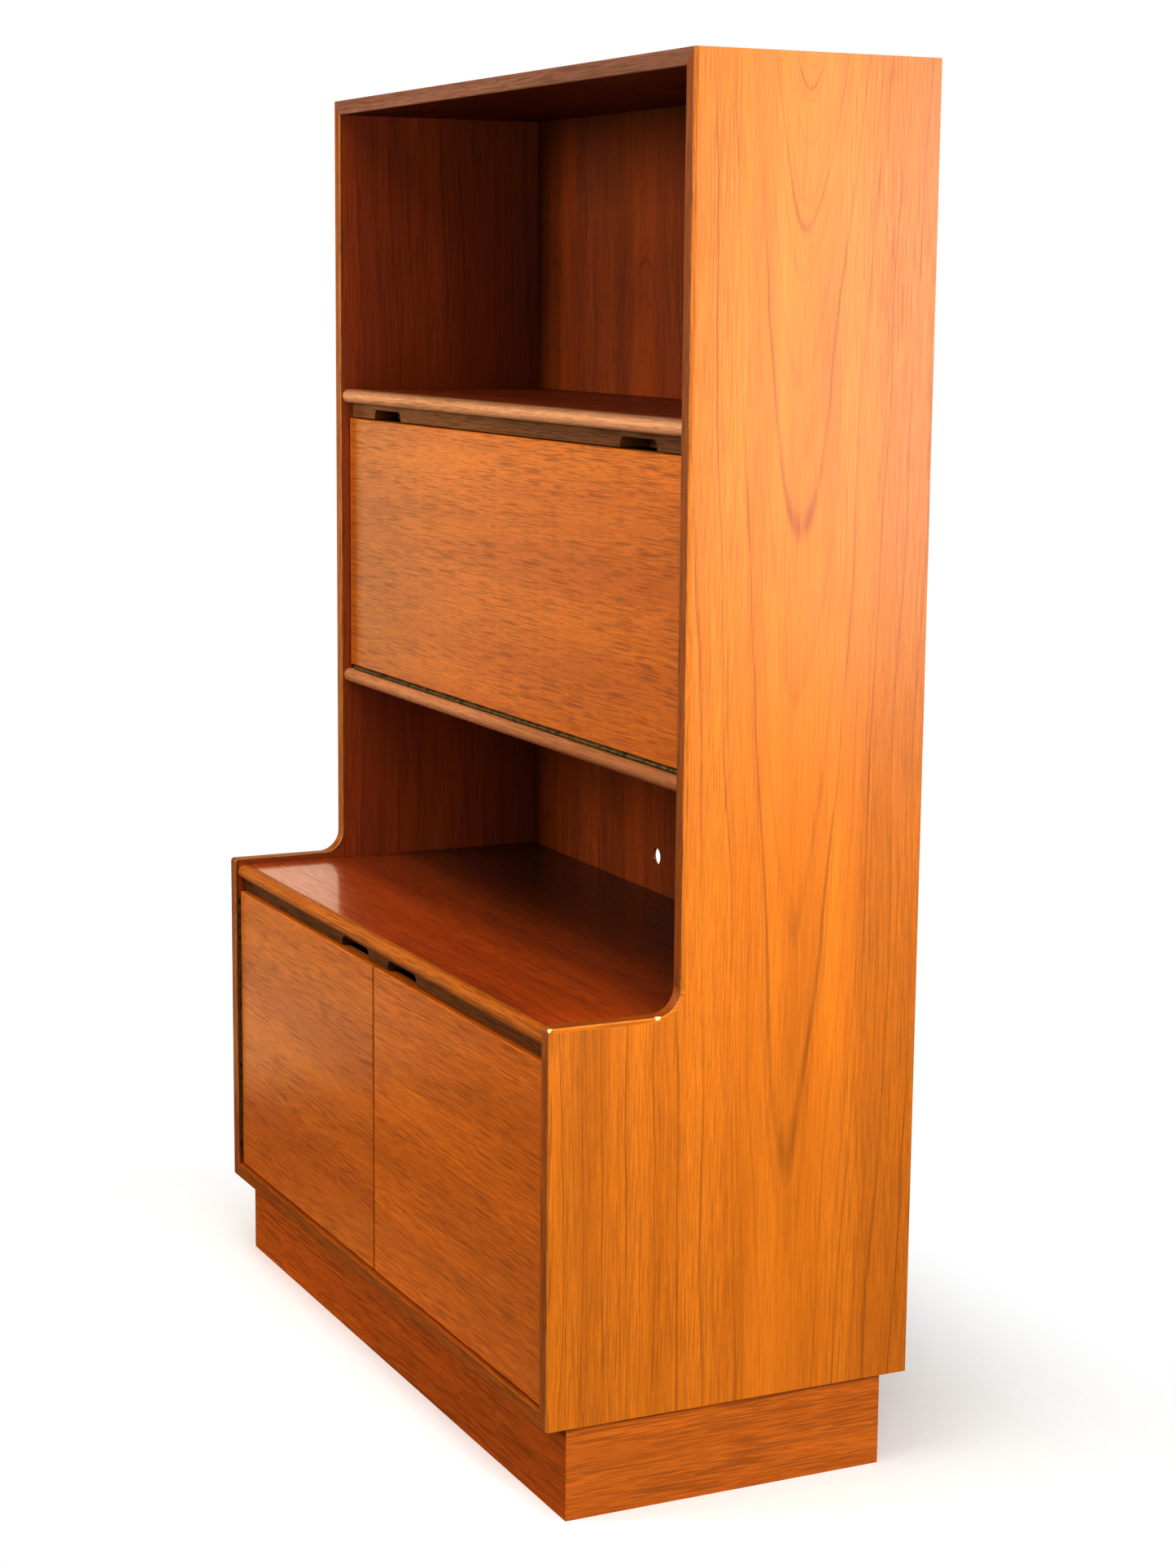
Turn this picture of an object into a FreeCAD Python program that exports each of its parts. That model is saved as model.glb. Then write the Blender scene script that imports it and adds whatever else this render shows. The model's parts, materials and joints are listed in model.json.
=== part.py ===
"""Secretary desk: a stepped wall cabinet with a bookcase, a drop flap, an open niche and two doors.

Millimetres. +X is the user's right when facing the desk, +Y goes to the back, +Z is up.
The origin is on the floor, under the middle of the desk's bounding box.
"""
import FreeCAD, Part
import math
import operator
import os

import Sketcher
from FreeCAD import Placement, Rotation, Vector

# Driving dimensions, in millimetres and degrees. The sheet holds them and every piece is bound to it.
DIMENSIONS = [
    ("overall_width", 1003),
    ("overall_depth", 440),
    ("overall_height", 1525),
    ("board", 18),
    ("step_back", 152),
    ("step_level", 540),
    ("step_radius", 28),
    ("step_corner_radius", 4.5),
    ("lipping", 5),
    ("arris", 2),
    ("panel_arris", 1.5),
    ("plinth_height", 105),
    ("plinth_side_inset", 7),
    ("plinth_front_inset", 27),
    ("plinth_back_inset", 29),
    ("corner_block", 40),
    ("back_thickness", 5),
    ("back_rebate", 9),
    ("cabinet_top_level", 532),
    ("desk_level", 788),
    ("upper_shelf_level", 1156.5),
    ("nosing_depth", 14),
    ("upper_nosing_setback", 3),
    ("lower_nosing_setback", 4),
    ("rail_depth", 45),
    ("flap_rail_setback", 15.5),
    ("flap_rail_height", 18),
    ("door_rail_setback", 11.5),
    ("door_rail_height", 14),
    ("notch_width", 88),
    ("notch_height", 12),
    ("notch_depth", 30),
    ("notch_radius", 9),
    ("flap_notch_offset", 357),
    ("door_notch_offset", 74.5),
    ("flap_setback", 11.5),
    ("flap_side_gap", 3),
    ("flap_top_gap", 1.5),
    ("door_setback", 5),
    ("door_meeting_gap", 3),
    ("door_bottom_gap", 2),
    ("door_top_gap", 1.6),
    ("hinge_offset", 2.8),
    ("knuckle_radius", 2.3),
    ("hinge_pin_radius", 1.1),
    ("running_clearance", 0.05),
    ("knuckle_gap", 0.3),
    ("leaf_width", 14),
    ("leaf_thickness", 1),
    ("flap_hinge_inset", 15),
    ("door_hinge_inset", 11),
    ("hinge_screw_line", 9),
    ("flap_screw_end_distance", 25),
    ("door_screw_end_distance", 20),
    ("hinge_screw_length", 12),
    ("hinge_screw_head_radius", 2.6),
    ("hinge_screw_shank_radius", 1.4),
    ("back_screw_length", 16),
    ("back_screw_head_radius", 3.2),
    ("back_screw_shank_radius", 1.6),
    ("cable_hole_offset", -111),
    ("cable_hole_level", 578),
    ("cable_hole_radius", 11),
    ("cabinet_shelf_level", 318),
    ("cabinet_shelf_front_gap", 30),
    ("letter_shelf_level", 996),
    ("letter_shelf_depth", 150),
    ("shelf_end_gap", 1),
    ("peg_radius", 2.5),
    ("peg_length", 20),
    ("peg_depth", 9),
    ("peg_end_distance", 32),
    ("catch_width", 46),
    ("catch_depth", 30),
    ("catch_height", 14),
    ("catch_gap", 0.3),
    ("strike_width", 36),
    ("strike_height", 10),
    ("strike_thickness", 1.2),
    ("flap_catch_offset", 150),
    ("door_catch_offset", 165),
    ("stay_reach", 150),
    ("stay_eye_angle", 78.5),
    ("stay_block_angle", 66.5),
    ("stay_side_distance", 10),
    ("rod_radius", 2.5),
    ("rod_neck_length", 9),
    ("rod_neck_overlap", 1),
    ("rod_eye_radius", 5),
    ("rod_eye_thickness", 3),
    ("rod_collar_radius", 4),
    ("rod_collar_length", 3),
    ("stay_pin_radius", 2),
    ("pin_head_thickness", 1),
    ("pin_head_overhang", 1),
    ("stay_plate", 2),
    ("stay_gap", 0.3),
    ("bracket_half_height", 20),
    ("bracket_width", 14),
    ("block_half_length", 8),
    ("block_half_height", 6),
    ("block_thickness", 12),
    ("block_shift", 1),
    ("stud_radius", 3),
    ("stud_depth", 3.5),
    ("side_plate_half_width", 8),
    ("side_plate_half_height", 22),
]
FLAP_KNUCKLES = 37
DOOR_KNUCKLES = 15
FLAP_SCREWS = 12
DOOR_SCREWS = 5
BACK_SCREWS_ACROSS = 6
BACK_SCREWS_UP = 8
# What counts as a long edge, in millimetres, and as a direction along an axis, as a cosine.
LONG_EDGE = 300
PARALLEL = 0.99
SIDES = (("left", -1), ("right", 1))
PLANES = {"YZ": ("YZ_Plane", 1), "XZ": ("XZ_Plane", -1), "XY": ("XY_Plane", 1)}

doc = FreeCAD.newDocument("secretary_desk")
sheet = doc.addObject("Spreadsheet::Sheet", "dims")
nodes = {}


class Size:
    """A length or angle that knows its number and the sheet expression that gives it."""

    def __init__(self, number, text):
        self.number = float(number)
        self.text = text

    def __add__(self, other):
        return combined(self, "+", other, operator.add)

    def __radd__(self, other):
        return combined(other, "+", self, operator.add)

    def __sub__(self, other):
        return combined(self, "-", other, operator.sub)

    def __rsub__(self, other):
        return combined(other, "-", self, operator.sub)

    def __mul__(self, other):
        return combined(self, "*", other, operator.mul)

    def __rmul__(self, other):
        return combined(other, "*", self, operator.mul)

    def __truediv__(self, other):
        return combined(self, "/", other, operator.truediv)

    def __neg__(self):
        return Size(-self.number, f"(-1 * {self.text})")


def as_size(value):
    return value if isinstance(value, Size) else Size(value, repr(float(value)))


def combined(first, sign, second, work):
    first = as_size(first)
    second = as_size(second)
    return Size(work(first.number, second.number), f"({first.text} {sign} {second.text})")


def sine(angle):
    return Size(math.sin(math.radians(angle.number)), f"sin({angle.text})")


def cosine(angle):
    return Size(math.cos(math.radians(angle.number)), f"cos({angle.text})")


def fill_sheet():
    """Write the driving dimensions to the sheet, and return each one read back as a Size."""
    for row, (alias, number) in enumerate(DIMENSIONS, start=1):
        sheet.set(f"A{row}", alias)
        sheet.set(f"B{row}", str(number))
        sheet.setAlias(f"B{row}", alias)
    doc.recompute()
    return {alias: Size(sheet.get(alias), f"dims.{alias}") for alias, _ in DIMENSIONS}


D = fill_sheet()
board = D["board"]
half_width = D["overall_width"] / 2
inside = half_width - board
front = -D["overall_depth"] / 2
back = D["overall_depth"] / 2
back_inner = back - D["back_thickness"]
upper_front = front + D["step_back"]
top = D["overall_height"]
plinth_top = D["plinth_height"]
floor_level = plinth_top + board
flap_rail_bottom = D["upper_shelf_level"] - board - D["flap_rail_height"]
door_rail_bottom = D["cabinet_top_level"] - board - D["door_rail_height"]
flap_front = upper_front + D["flap_setback"]
flap_back = flap_front + board
flap_bottom = D["desk_level"] + 2 * D["hinge_offset"]
flap_top = flap_rail_bottom - D["flap_top_gap"]
flap_axis_level = D["desk_level"] + D["hinge_offset"]
door_front = front + D["door_setback"]
door_back = door_front + board
door_bottom = floor_level + D["door_bottom_gap"]
door_top = door_rail_bottom - D["door_top_gap"]
door_axis_offset = inside - D["hinge_offset"]
door_hinge_edge = inside - 2 * D["hinge_offset"]


# ---------------------------------------------------------------- drawing helpers

def bind(piece, **sizes):
    for name, size in sizes.items():
        piece.setExpression(name, as_size(size).text)


def move(piece, x, y, z, turn=None):
    """Place a piece, turned by a Rotation when one is given."""
    piece.Placement = Placement(Vector(0, 0, 0), turn or Rotation())
    for name, size in zip("xyz", (x, y, z)):
        piece.setExpression(f"Placement.Base.{name}", as_size(size).text)


def node(label, piece):
    """Name a finished piece, so that it is written out under that name."""
    piece.Label = label
    nodes[label] = piece
    return piece


def new_body(name):
    return doc.addObject("PartDesign::Body", name)


def new_sketch(body, plane, start):
    """A sketch on one of the body's origin planes, moved to start along the plane's row axis."""
    role, sign = PLANES[plane]
    support = [feature for feature in body.Origin.OriginFeatures if feature.Role == role][0]
    sketch = body.newObject("Sketcher::SketchObject", f"{body.Name}_sketch")
    sketch.AttachmentSupport = [(support, "")]
    sketch.MapMode = "FlatFace"
    sketch.setExpression(".AttachmentOffset.Base.z", (sign * as_size(start)).text)
    return sketch


def fix_point(sketch, line, end, u, v):
    """Hold one point of the sketch at (u, v) from the sketch's origin."""
    for kind, size in (("DistanceX", as_size(u)), ("DistanceY", as_size(v))):
        index = sketch.addConstraint(Sketcher.Constraint(kind, -1, 1, line, end, size.number))
        sketch.setExpression(f"Constraints[{index}]", size.text)


def draw_outline(sketch, corners, arcs=None):
    """A closed outline. arcs maps a corner's index to (centre u, centre v, radius, anticlockwise)
    where an arc, not a straight line, runs from that corner to the next."""
    arcs = arcs or {}
    points = [Vector(as_size(u).number, as_size(v).number, 0) for u, v in corners]
    first = sketch.GeometryCount
    starts = []
    for index, point in enumerate(points):
        following = points[(index + 1) % len(points)]
        if index in arcs:
            starts.append(add_arc(sketch, point, following, arcs[index]))
        else:
            sketch.addGeometry(Part.LineSegment(point, following))
            starts.append((1, 2))
    for index, (start, _) in enumerate(starts):
        before = (index - 1) % len(points)
        sketch.addConstraint(
            Sketcher.Constraint("Coincident", first + before, starts[before][1], first + index, start))
        fix_point(sketch, first + index, start, *corners[index])
    for index, arc in arcs.items():
        number = sketch.addConstraint(
            Sketcher.Constraint("DistanceX", -1, 1, first + index, 3, arc[0].number))
        sketch.setExpression(f"Constraints[{number}]", arc[0].text)


def add_arc(sketch, point, following, arc):
    """Add an arc and return which of its ends come first and last along the outline."""
    centre = Vector(arc[0].number, arc[1].number, 0)
    angles = [math.atan2(p.y - centre.y, p.x - centre.x) for p in (point, following)]
    circle = Part.Circle(centre, Vector(0, 0, 1), arc[2].number)
    if arc[3]:
        sketch.addGeometry(Part.ArcOfCircle(circle, angles[0], angles[1]))
        return (1, 2)
    sketch.addGeometry(Part.ArcOfCircle(circle, angles[1], angles[0]))
    return (2, 1)


def draw_circle(sketch, u, v, radius):
    centre = Vector(as_size(u).number, as_size(v).number, 0)
    index = sketch.addGeometry(Part.Circle(centre, Vector(0, 0, 1), radius.number))
    fix_point(sketch, index, 3, u, v)
    number = sketch.addConstraint(Sketcher.Constraint("Radius", index, radius.number))
    sketch.setExpression(f"Constraints[{number}]", radius.text)


def pad(body, sketch, plane, length):
    """Grow a sketch towards the positive end of its plane's row axis."""
    feature = body.newObject("PartDesign::Pad", f"{body.Name}_pad")
    feature.Profile = sketch
    feature.Reversed = PLANES[plane][1] < 0
    bind(feature, Length=length)
    return feature


def pocket_through(body, plane, *outlines):
    """Cut outlines right through the body, both ways from their plane."""
    sketch = new_sketch(body, plane, 0)
    for corners in outlines:
        draw_outline(sketch, corners)
    feature = body.newObject("PartDesign::Pocket", f"{body.Name}_pocket")
    feature.Profile = sketch
    feature.Type = "ThroughAll"
    feature.SideType = "Symmetric"
    return feature


def bar(name, plane, corners, start, length, arcs=None):
    """A body whose outline is the same all along one row axis."""
    body = new_body(name)
    sketch = new_sketch(body, plane, start)
    draw_outline(sketch, corners, arcs)
    pad(body, sketch, plane, length)
    return body


def block(name, x_span, y_span, z_span):
    """A plain rectangular board between pairs of coordinates."""
    piece = doc.addObject("Part::Box", name)
    bind(piece, Length=x_span[1] - x_span[0], Width=y_span[1] - y_span[0], Height=z_span[1] - z_span[0])
    move(piece, x_span[0], y_span[0], z_span[0])
    return piece


def rectangle(u_span, v_span):
    return [(u_span[0], v_span[0]), (u_span[1], v_span[0]), (u_span[1], v_span[1]), (u_span[0], v_span[1])]


def mirrored_span(side, low, high):
    """The span low to high on the right side, and its mirror image on the left."""
    return (low, high) if side > 0 else (-high, -low)


def round_edges(body, radius, wanted):
    """Round the body's edges that wanted(edge) picks."""
    doc.recompute()
    base = body.Tip
    names = [f"Edge{i}" for i, edge in enumerate(base.Shape.Edges, start=1) if wanted(edge)]
    feature = body.newObject("PartDesign::Fillet", f"{body.Name}_fillet")
    feature.Base = (base, names)
    bind(feature, Radius=radius)
    return feature


def at(value, number):
    """Whether a measured coordinate is the wanted one."""
    return abs(value - as_size(number).number) < 0.01


def lies_at(edge, axis, number):
    """Whether every end of the edge has this coordinate."""
    return all(at(getattr(vertex.Point, axis), number) for vertex in edge.Vertexes)


def runs_along(edge, axis):
    """Whether the edge starts out along this axis."""
    return abs(getattr(edge.tangentAt(edge.FirstParameter), axis)) > PARALLEL


def fused(name, *pieces):
    piece = doc.addObject("Part::MultiFuse", name)
    piece.Shapes = list(pieces)
    return piece


def drilled(name, base, *tools):
    """The base with the tools' shapes cut away."""
    piece = doc.addObject("Part::Cut", name)
    piece.Base = base
    piece.Tool = tools[0] if len(tools) == 1 else fused(f"{name}_tools", *tools)
    return piece


def rod_along_x(name, x_span, y, z, radius):
    piece = doc.addObject("Part::Cylinder", name)
    bind(piece, Radius=radius, Height=x_span[1] - x_span[0])
    move(piece, x_span[0], y, z, Rotation(Vector(0, 1, 0), 90))
    return piece


def screw_group(name, places, direction, head_radius, shank_radius, length):
    """Countersunk screws, heads flush at the places, points along the direction."""
    head = head_radius.number - shank_radius.number
    screws = []
    for place in places:
        cone = Part.makeCone(head_radius.number, shank_radius.number, head, place, direction)
        neck = place + direction * head
        shank = Part.makeCylinder(shank_radius.number, length.number - head, neck, direction)
        screws.append(cone.fuse(shank).removeSplitter())
    group = doc.addObject("Part::Feature", name)
    group.Shape = Part.makeCompound(screws)
    return group


def spread(half_span, count):
    """Evenly spaced positions from -half_span to half_span."""
    return [half_span * (2 * index / (count - 1) - 1) for index in range(count)]


# ---------------------------------------------------------------- carcass

def top_mitre(side):
    """What a mitred upright loses under the top board's mitred end."""
    return [(side * inside, top - board), (side * half_width, top), (side * inside, top)]


def bottom_mitre(side):
    """What a mitred upright loses above the bottom board's mitred end."""
    return [(side * inside, floor_level), (side * half_width, plinth_top), (side * inside, plinth_top)]


def side_panel(name, side):
    """A stepped upright: deep below the step, shallow above it, with a hollow curve between."""
    bend = D["step_radius"] + D["lipping"]
    corners = [
        (back, plinth_top),
        (back, top),
        (upper_front + D["lipping"], top),
        (upper_front + D["lipping"], D["step_level"] + D["step_radius"]),
        (upper_front - D["step_radius"], D["step_level"] - D["lipping"]),
        (front + D["lipping"], D["step_level"] - D["lipping"]),
        (front + D["lipping"], plinth_top),
    ]
    arcs = {3: (upper_front - D["step_radius"], D["step_level"] + D["step_radius"], bend, False)}
    start = inside if side > 0 else -half_width
    body = bar(f"side_{name}", "YZ", corners, start, board, arcs)
    pocket_through(body, "XZ", top_mitre(side), bottom_mitre(side))
    rebate = mirrored_span(side, inside, inside + D["back_rebate"])
    pocket_through(body, "XY", rectangle(rebate, (back_inner, back)))
    return body


def end_board(name, low, high, mitre_low):
    """The top or bottom board, mitred into the uprights, with a rebate for the back panel."""
    wide, narrow = half_width, inside
    low_half, high_half = (narrow, wide) if mitre_low else (wide, narrow)
    corners = [(-low_half, low), (low_half, low), (high_half, high), (-high_half, high)]
    board_front = upper_front if mitre_low else front
    start = board_front + D["lipping"]
    body = bar(name, "XZ", corners, start, back - start)
    rebate = (low, low + D["back_rebate"]) if mitre_low else (high - D["back_rebate"], high)
    pocket_through(body, "YZ", rectangle((back_inner, back), rebate))
    return body


def end_lipping(name, low, high, mitre_low):
    """The solid strip along the front of the top or bottom board, mitred at both ends."""
    low_half, high_half = (inside, half_width) if mitre_low else (half_width, inside)
    corners = [(-low_half, low), (low_half, low), (high_half, high), (-high_half, high)]
    start = upper_front if mitre_low else front
    body = bar(name, "XZ", corners, start, D["lipping"])
    round_edges(body, D["arris"], lambda edge: lies_at(edge, "y", start) and edge.Length > LONG_EDGE)
    return node(name, body)


def upper_lipping(name, side):
    """The strip up the front of an upright, from the end of the hollow curve to the top mitre."""
    level = D["step_level"] + D["step_radius"]
    across = mirrored_span(side, inside, half_width)
    corners = rectangle(across, (level, top))
    body = bar(f"upper_lipping_{name}", "XZ", corners, upper_front, D["lipping"])
    pocket_through(body, "XZ", top_mitre(side))
    round_edges(body, D["arris"], lambda edge: lies_at(edge, "y", upper_front) and edge.Length > LONG_EDGE)
    return node(f"upper_lipping_{name}", body)


def step_lipping(name, side):
    """The strip over the step: level, then up the hollow curve."""
    level = D["step_level"]
    radius = D["step_radius"]
    strip = D["lipping"]
    centre = (upper_front - radius, level + radius)
    corners = [
        (front + strip, level - strip),
        (centre[0], level - strip),
        (upper_front + strip, centre[1]),
        (upper_front, centre[1]),
        (centre[0], level),
        (front + strip, level),
    ]
    arcs = {
        1: (centre[0], centre[1], radius + strip, True),
        3: (centre[0], centre[1], radius, False),
    }
    start = inside if side > 0 else -half_width
    body = bar(f"step_lipping_{name}", "YZ", corners, start, board, arcs)

    def on_top(edge):
        middle = edge.valueAt((edge.FirstParameter + edge.LastParameter) / 2)
        level_part = lies_at(edge, "z", level) and edge.Length > board.number
        from_centre = math.hypot(middle.y - centre[0].number, middle.z - centre[1].number)
        curved_part = edge.Curve.TypeId == "Part::GeomCircle" and at(from_centre, radius)
        return not runs_along(edge, "x") and (level_part or curved_part)

    round_edges(body, D["arris"], on_top)
    return node(f"step_lipping_{name}", body)


def lower_lipping(name, side):
    """The strip up the front of an upright below the step, with a rounded top corner."""
    level = D["step_level"]
    corner = D["step_corner_radius"]
    corners = [
        (front, plinth_top),
        (front + D["lipping"], plinth_top),
        (front + D["lipping"], level),
        (front + corner, level),
        (front, level - corner),
    ]
    arcs = {3: (front + corner, level - corner, corner, True)}
    start = inside if side > 0 else -half_width
    body = bar(f"lower_lipping_{name}", "YZ", corners, start, board, arcs)
    pocket_through(body, "XZ", bottom_mitre(side))
    round_edges(body, D["arris"], lambda edge: lies_at(edge, "y", front) and edge.Length > LONG_EDGE)
    return node(f"lower_lipping_{name}", body)


def fixed_shelf(name, level, shelf_front):
    """A shelf board between the uprights; its nosing is a separate strip in front of it."""
    depth = (shelf_front + D["nosing_depth"], back_inner)
    return block(name, (-inside, inside), depth, (level - board, level))


def nosing(name, level, nose):
    """A solid strip with a full round front, glued to a shelf's edge."""
    radius = board / 2
    corners = [
        (nose + D["nosing_depth"], level - board),
        (nose + D["nosing_depth"], level),
        (nose + radius, level),
        (nose + radius, level - board),
    ]
    arcs = {2: (nose + radius, level - radius, radius, True)}
    return node(name, bar(name, "YZ", corners, -inside, 2 * inside, arcs))


def notched_rail(name, rail_front, bottom, height, notch_offset):
    """A rail under a shelf, with two finger notches open at the front and underneath."""
    corners = rectangle((rail_front, rail_front + D["rail_depth"]), (bottom, bottom + height))
    body = bar(name, "YZ", corners, -inside, 2 * inside)
    sketch = new_sketch(body, "XZ", rail_front)
    half = D["notch_width"] / 2
    notch_top = bottom + D["notch_height"]
    for side in (-1, 1):
        middle = side * notch_offset
        draw_outline(sketch, rectangle((middle - half, middle + half), (bottom, notch_top)))
    pocket = body.newObject("PartDesign::Pocket", f"{name}_notches")
    pocket.Profile = sketch
    bind(pocket, Length=D["notch_depth"])
    round_edges(body, D["notch_radius"], lambda edge: is_notch_corner(edge, notch_top, notch_offset))
    return node(name, body)


def is_notch_corner(edge, notch_top, notch_offset):
    """The edges along Y at the upper corners of the finger notches."""
    sideways = abs(abs(edge.Vertexes[0].Point.x) - notch_offset.number)
    at_corner = lies_at(edge, "z", notch_top) and at(sideways, D["notch_width"] / 2)
    return runs_along(edge, "y") and at_corner


def back_panel():
    """A thin panel in the rebates, with one round hole for cables in the niche."""
    width = inside + D["back_rebate"]
    low = floor_level - D["back_rebate"]
    high = top - board + D["back_rebate"]
    body = bar("back_blank", "XZ", rectangle((-width, width), (low, high)), back_inner, D["back_thickness"])
    sketch = new_sketch(body, "XZ", 0)
    draw_circle(sketch, D["cable_hole_offset"], D["cable_hole_level"], D["cable_hole_radius"])
    hole = body.newObject("PartDesign::Pocket", "back_cable_hole")
    hole.Profile = sketch
    hole.Type = "ThroughAll"
    hole.SideType = "Symmetric"
    return body


def back_screws():
    """Screws from behind, round the back panel and along each fixed shelf."""
    edge = D["back_rebate"].number / 2
    across = spread(inside.number + edge, BACK_SCREWS_ACROSS)
    heights = spread((top - board + edge - (floor_level - edge)).number / 2, BACK_SCREWS_UP)
    middle = (top - board + floor_level).number / 2
    shelf_levels = [D[name].number - board.number / 2
                    for name in ("cabinet_top_level", "desk_level", "upper_shelf_level")]
    places = []
    for x in across:
        places.append(Vector(x, back.number, middle + heights[0]))
        places.append(Vector(x, back.number, middle + heights[-1]))
    for z in heights[1:-1]:
        places.append(Vector(across[0], back.number, middle + z))
        places.append(Vector(across[-1], back.number, middle + z))
    for z in shelf_levels:
        places.extend(Vector(x, back.number, z) for x in across[1:-1])
    screws = screw_group("back_panel_screws", places, Vector(0, -1, 0), D["back_screw_head_radius"],
                         D["back_screw_shank_radius"], D["back_screw_length"])
    return node("back_panel_screws", screws)


# ---------------------------------------------------------------- plinth

def plinth():
    """Four mitred boards on edge, set in from the carcass, with glued blocks in the corners."""
    outer = half_width - D["plinth_side_inset"]
    plinth_front = front + D["plinth_front_inset"]
    plinth_back = back - D["plinth_back_inset"]
    inner = outer - board
    front_corners = [(-outer, plinth_front), (outer, plinth_front),
                     (inner, plinth_front + board), (-inner, plinth_front + board)]
    back_corners = [(-inner, plinth_back - board), (inner, plinth_back - board),
                    (outer, plinth_back), (-outer, plinth_back)]
    node("plinth_front", bar("plinth_front", "XY", front_corners, 0, plinth_top))
    node("plinth_back", bar("plinth_back", "XY", back_corners, 0, plinth_top))
    for name, side in SIDES:
        corners = [(side * outer, plinth_front), (side * outer, plinth_back),
                   (side * inner, plinth_back - board), (side * inner, plinth_front + board)]
        node(f"plinth_side_{name}", bar(f"plinth_side_{name}", "XY", corners, 0, plinth_top))
    blocks = []
    for name, side in SIDES:
        x_span = mirrored_span(side, inner - D["corner_block"], inner)
        for end, low in (("front", plinth_front + board), ("back", plinth_back - board - D["corner_block"])):
            y_span = (low, low + D["corner_block"])
            blocks.append(block(f"corner_{end}_{name}", x_span, y_span, (D["arris"], plinth_top)))
    node("plinth_corner_blocks", fused("plinth_corner_blocks", *blocks))


# ---------------------------------------------------------------- continuous hinges

def hinge_leaf(name, length, knuckles, moving):
    """One leaf of a continuous hinge, lying along X with its flat part towards +Y.

    The fixed leaf is below the pin and keeps the even knuckles, the moving leaf is above it and
    keeps the odd ones."""
    direction = 1 if moving else -1
    body = new_body(name)
    barrel = new_sketch(body, "YZ", -length / 2)
    draw_circle(barrel, 0, 0, D["knuckle_radius"])
    draw_circle(barrel, 0, 0, D["hinge_pin_radius"] + D["running_clearance"])
    pad(body, barrel, "YZ", length)
    flat = new_sketch(body, "YZ", -length / 2)
    outer = direction * D["hinge_offset"]
    inner = direction * (D["hinge_offset"] - D["leaf_thickness"])
    draw_outline(flat, rectangle((0, D["leaf_width"]), (outer, inner) if direction < 0 else (inner, outer)))
    pad(body, flat, "YZ", length)

    pitch = length / knuckles
    count = (knuckles + 1) // 2 if moving else knuckles // 2
    first = -length / 2 if moving else -length / 2 + pitch
    gap = D["knuckle_gap"] / 2
    clear = D["knuckle_radius"] + D["knuckle_gap"]
    window = pocket_through(body, "XY", rectangle((first - gap, first + pitch + gap), (-clear, clear)))
    pattern = body.newObject("PartDesign::LinearPattern", f"{name}_pattern")
    pattern.Originals = [window]
    pattern.Direction = (window.Profile[0], ["H_Axis"])
    bind(pattern, Length=2 * pitch * (count - 1))
    pattern.Occurrences = count
    body.Tip = pattern
    return body


def continuous_hinge(prefix, length, knuckles, place, turn):
    """A fixed leaf, a moving leaf and the pin, set at the place with the given turn."""
    fixed = hinge_leaf(f"{prefix}_leaf_fixed", length, knuckles, moving=False)
    moving = hinge_leaf(f"{prefix}_leaf_moving", length, knuckles, moving=True)
    for leaf in (fixed, moving):
        move(leaf, *place, turn)
    pin = new_body(f"{prefix}_pin")
    sketch = new_sketch(pin, "YZ", -length / 2)
    draw_circle(sketch, 0, 0, D["hinge_pin_radius"])
    pad(pin, sketch, "YZ", length)
    move(pin, *place, turn)
    node(f"{prefix}_pin", pin)
    return fixed, moving


def hinge_screws(name, places, direction):
    return screw_group(name, places, direction, D["hinge_screw_head_radius"],
                       D["hinge_screw_shank_radius"], D["hinge_screw_length"])


def flap_and_hinge(desk_shelf):
    """The drop flap, hung at its bottom front edge over the desk shelf."""
    length = 2 * (inside - D["flap_side_gap"] - D["flap_hinge_inset"])
    place = (0, flap_front, flap_axis_level)
    fixed, moving = continuous_hinge("flap_hinge", length, FLAP_KNUCKLES, place, None)
    along = spread((length / 2 - D["flap_screw_end_distance"]).number, FLAP_SCREWS)
    screw_y = (flap_front + D["hinge_screw_line"]).number
    face = (D["hinge_offset"] - D["leaf_thickness"]).number
    below = [Vector(x, screw_y, flap_axis_level.number - face) for x in along]
    above = [Vector(x, screw_y, flap_axis_level.number + face) for x in along]
    shelf_screws = hinge_screws("flap_hinge_screws_fixed", below, Vector(0, 0, -1))
    flap_screws = hinge_screws("flap_hinge_screws_moving", above, Vector(0, 0, 1))
    for screws in (shelf_screws, flap_screws):
        node(screws.Label, screws)

    half = inside - D["flap_side_gap"]
    flap = bar("flap_blank", "XZ", rectangle((-half, half), (flap_bottom, flap_top)), flap_front, board)
    round_edges(flap, D["panel_arris"], lambda edge: True)
    node("flap", drilled("flap", flap, flap_screws))
    node("desk_shelf", drilled("desk_shelf", desk_shelf, shelf_screws))
    node("flap_hinge_leaf_fixed", drilled("flap_hinge_leaf_fixed_drilled", fixed, shelf_screws))
    node("flap_hinge_leaf_moving", drilled("flap_hinge_leaf_moving_drilled", moving, flap_screws))


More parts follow.
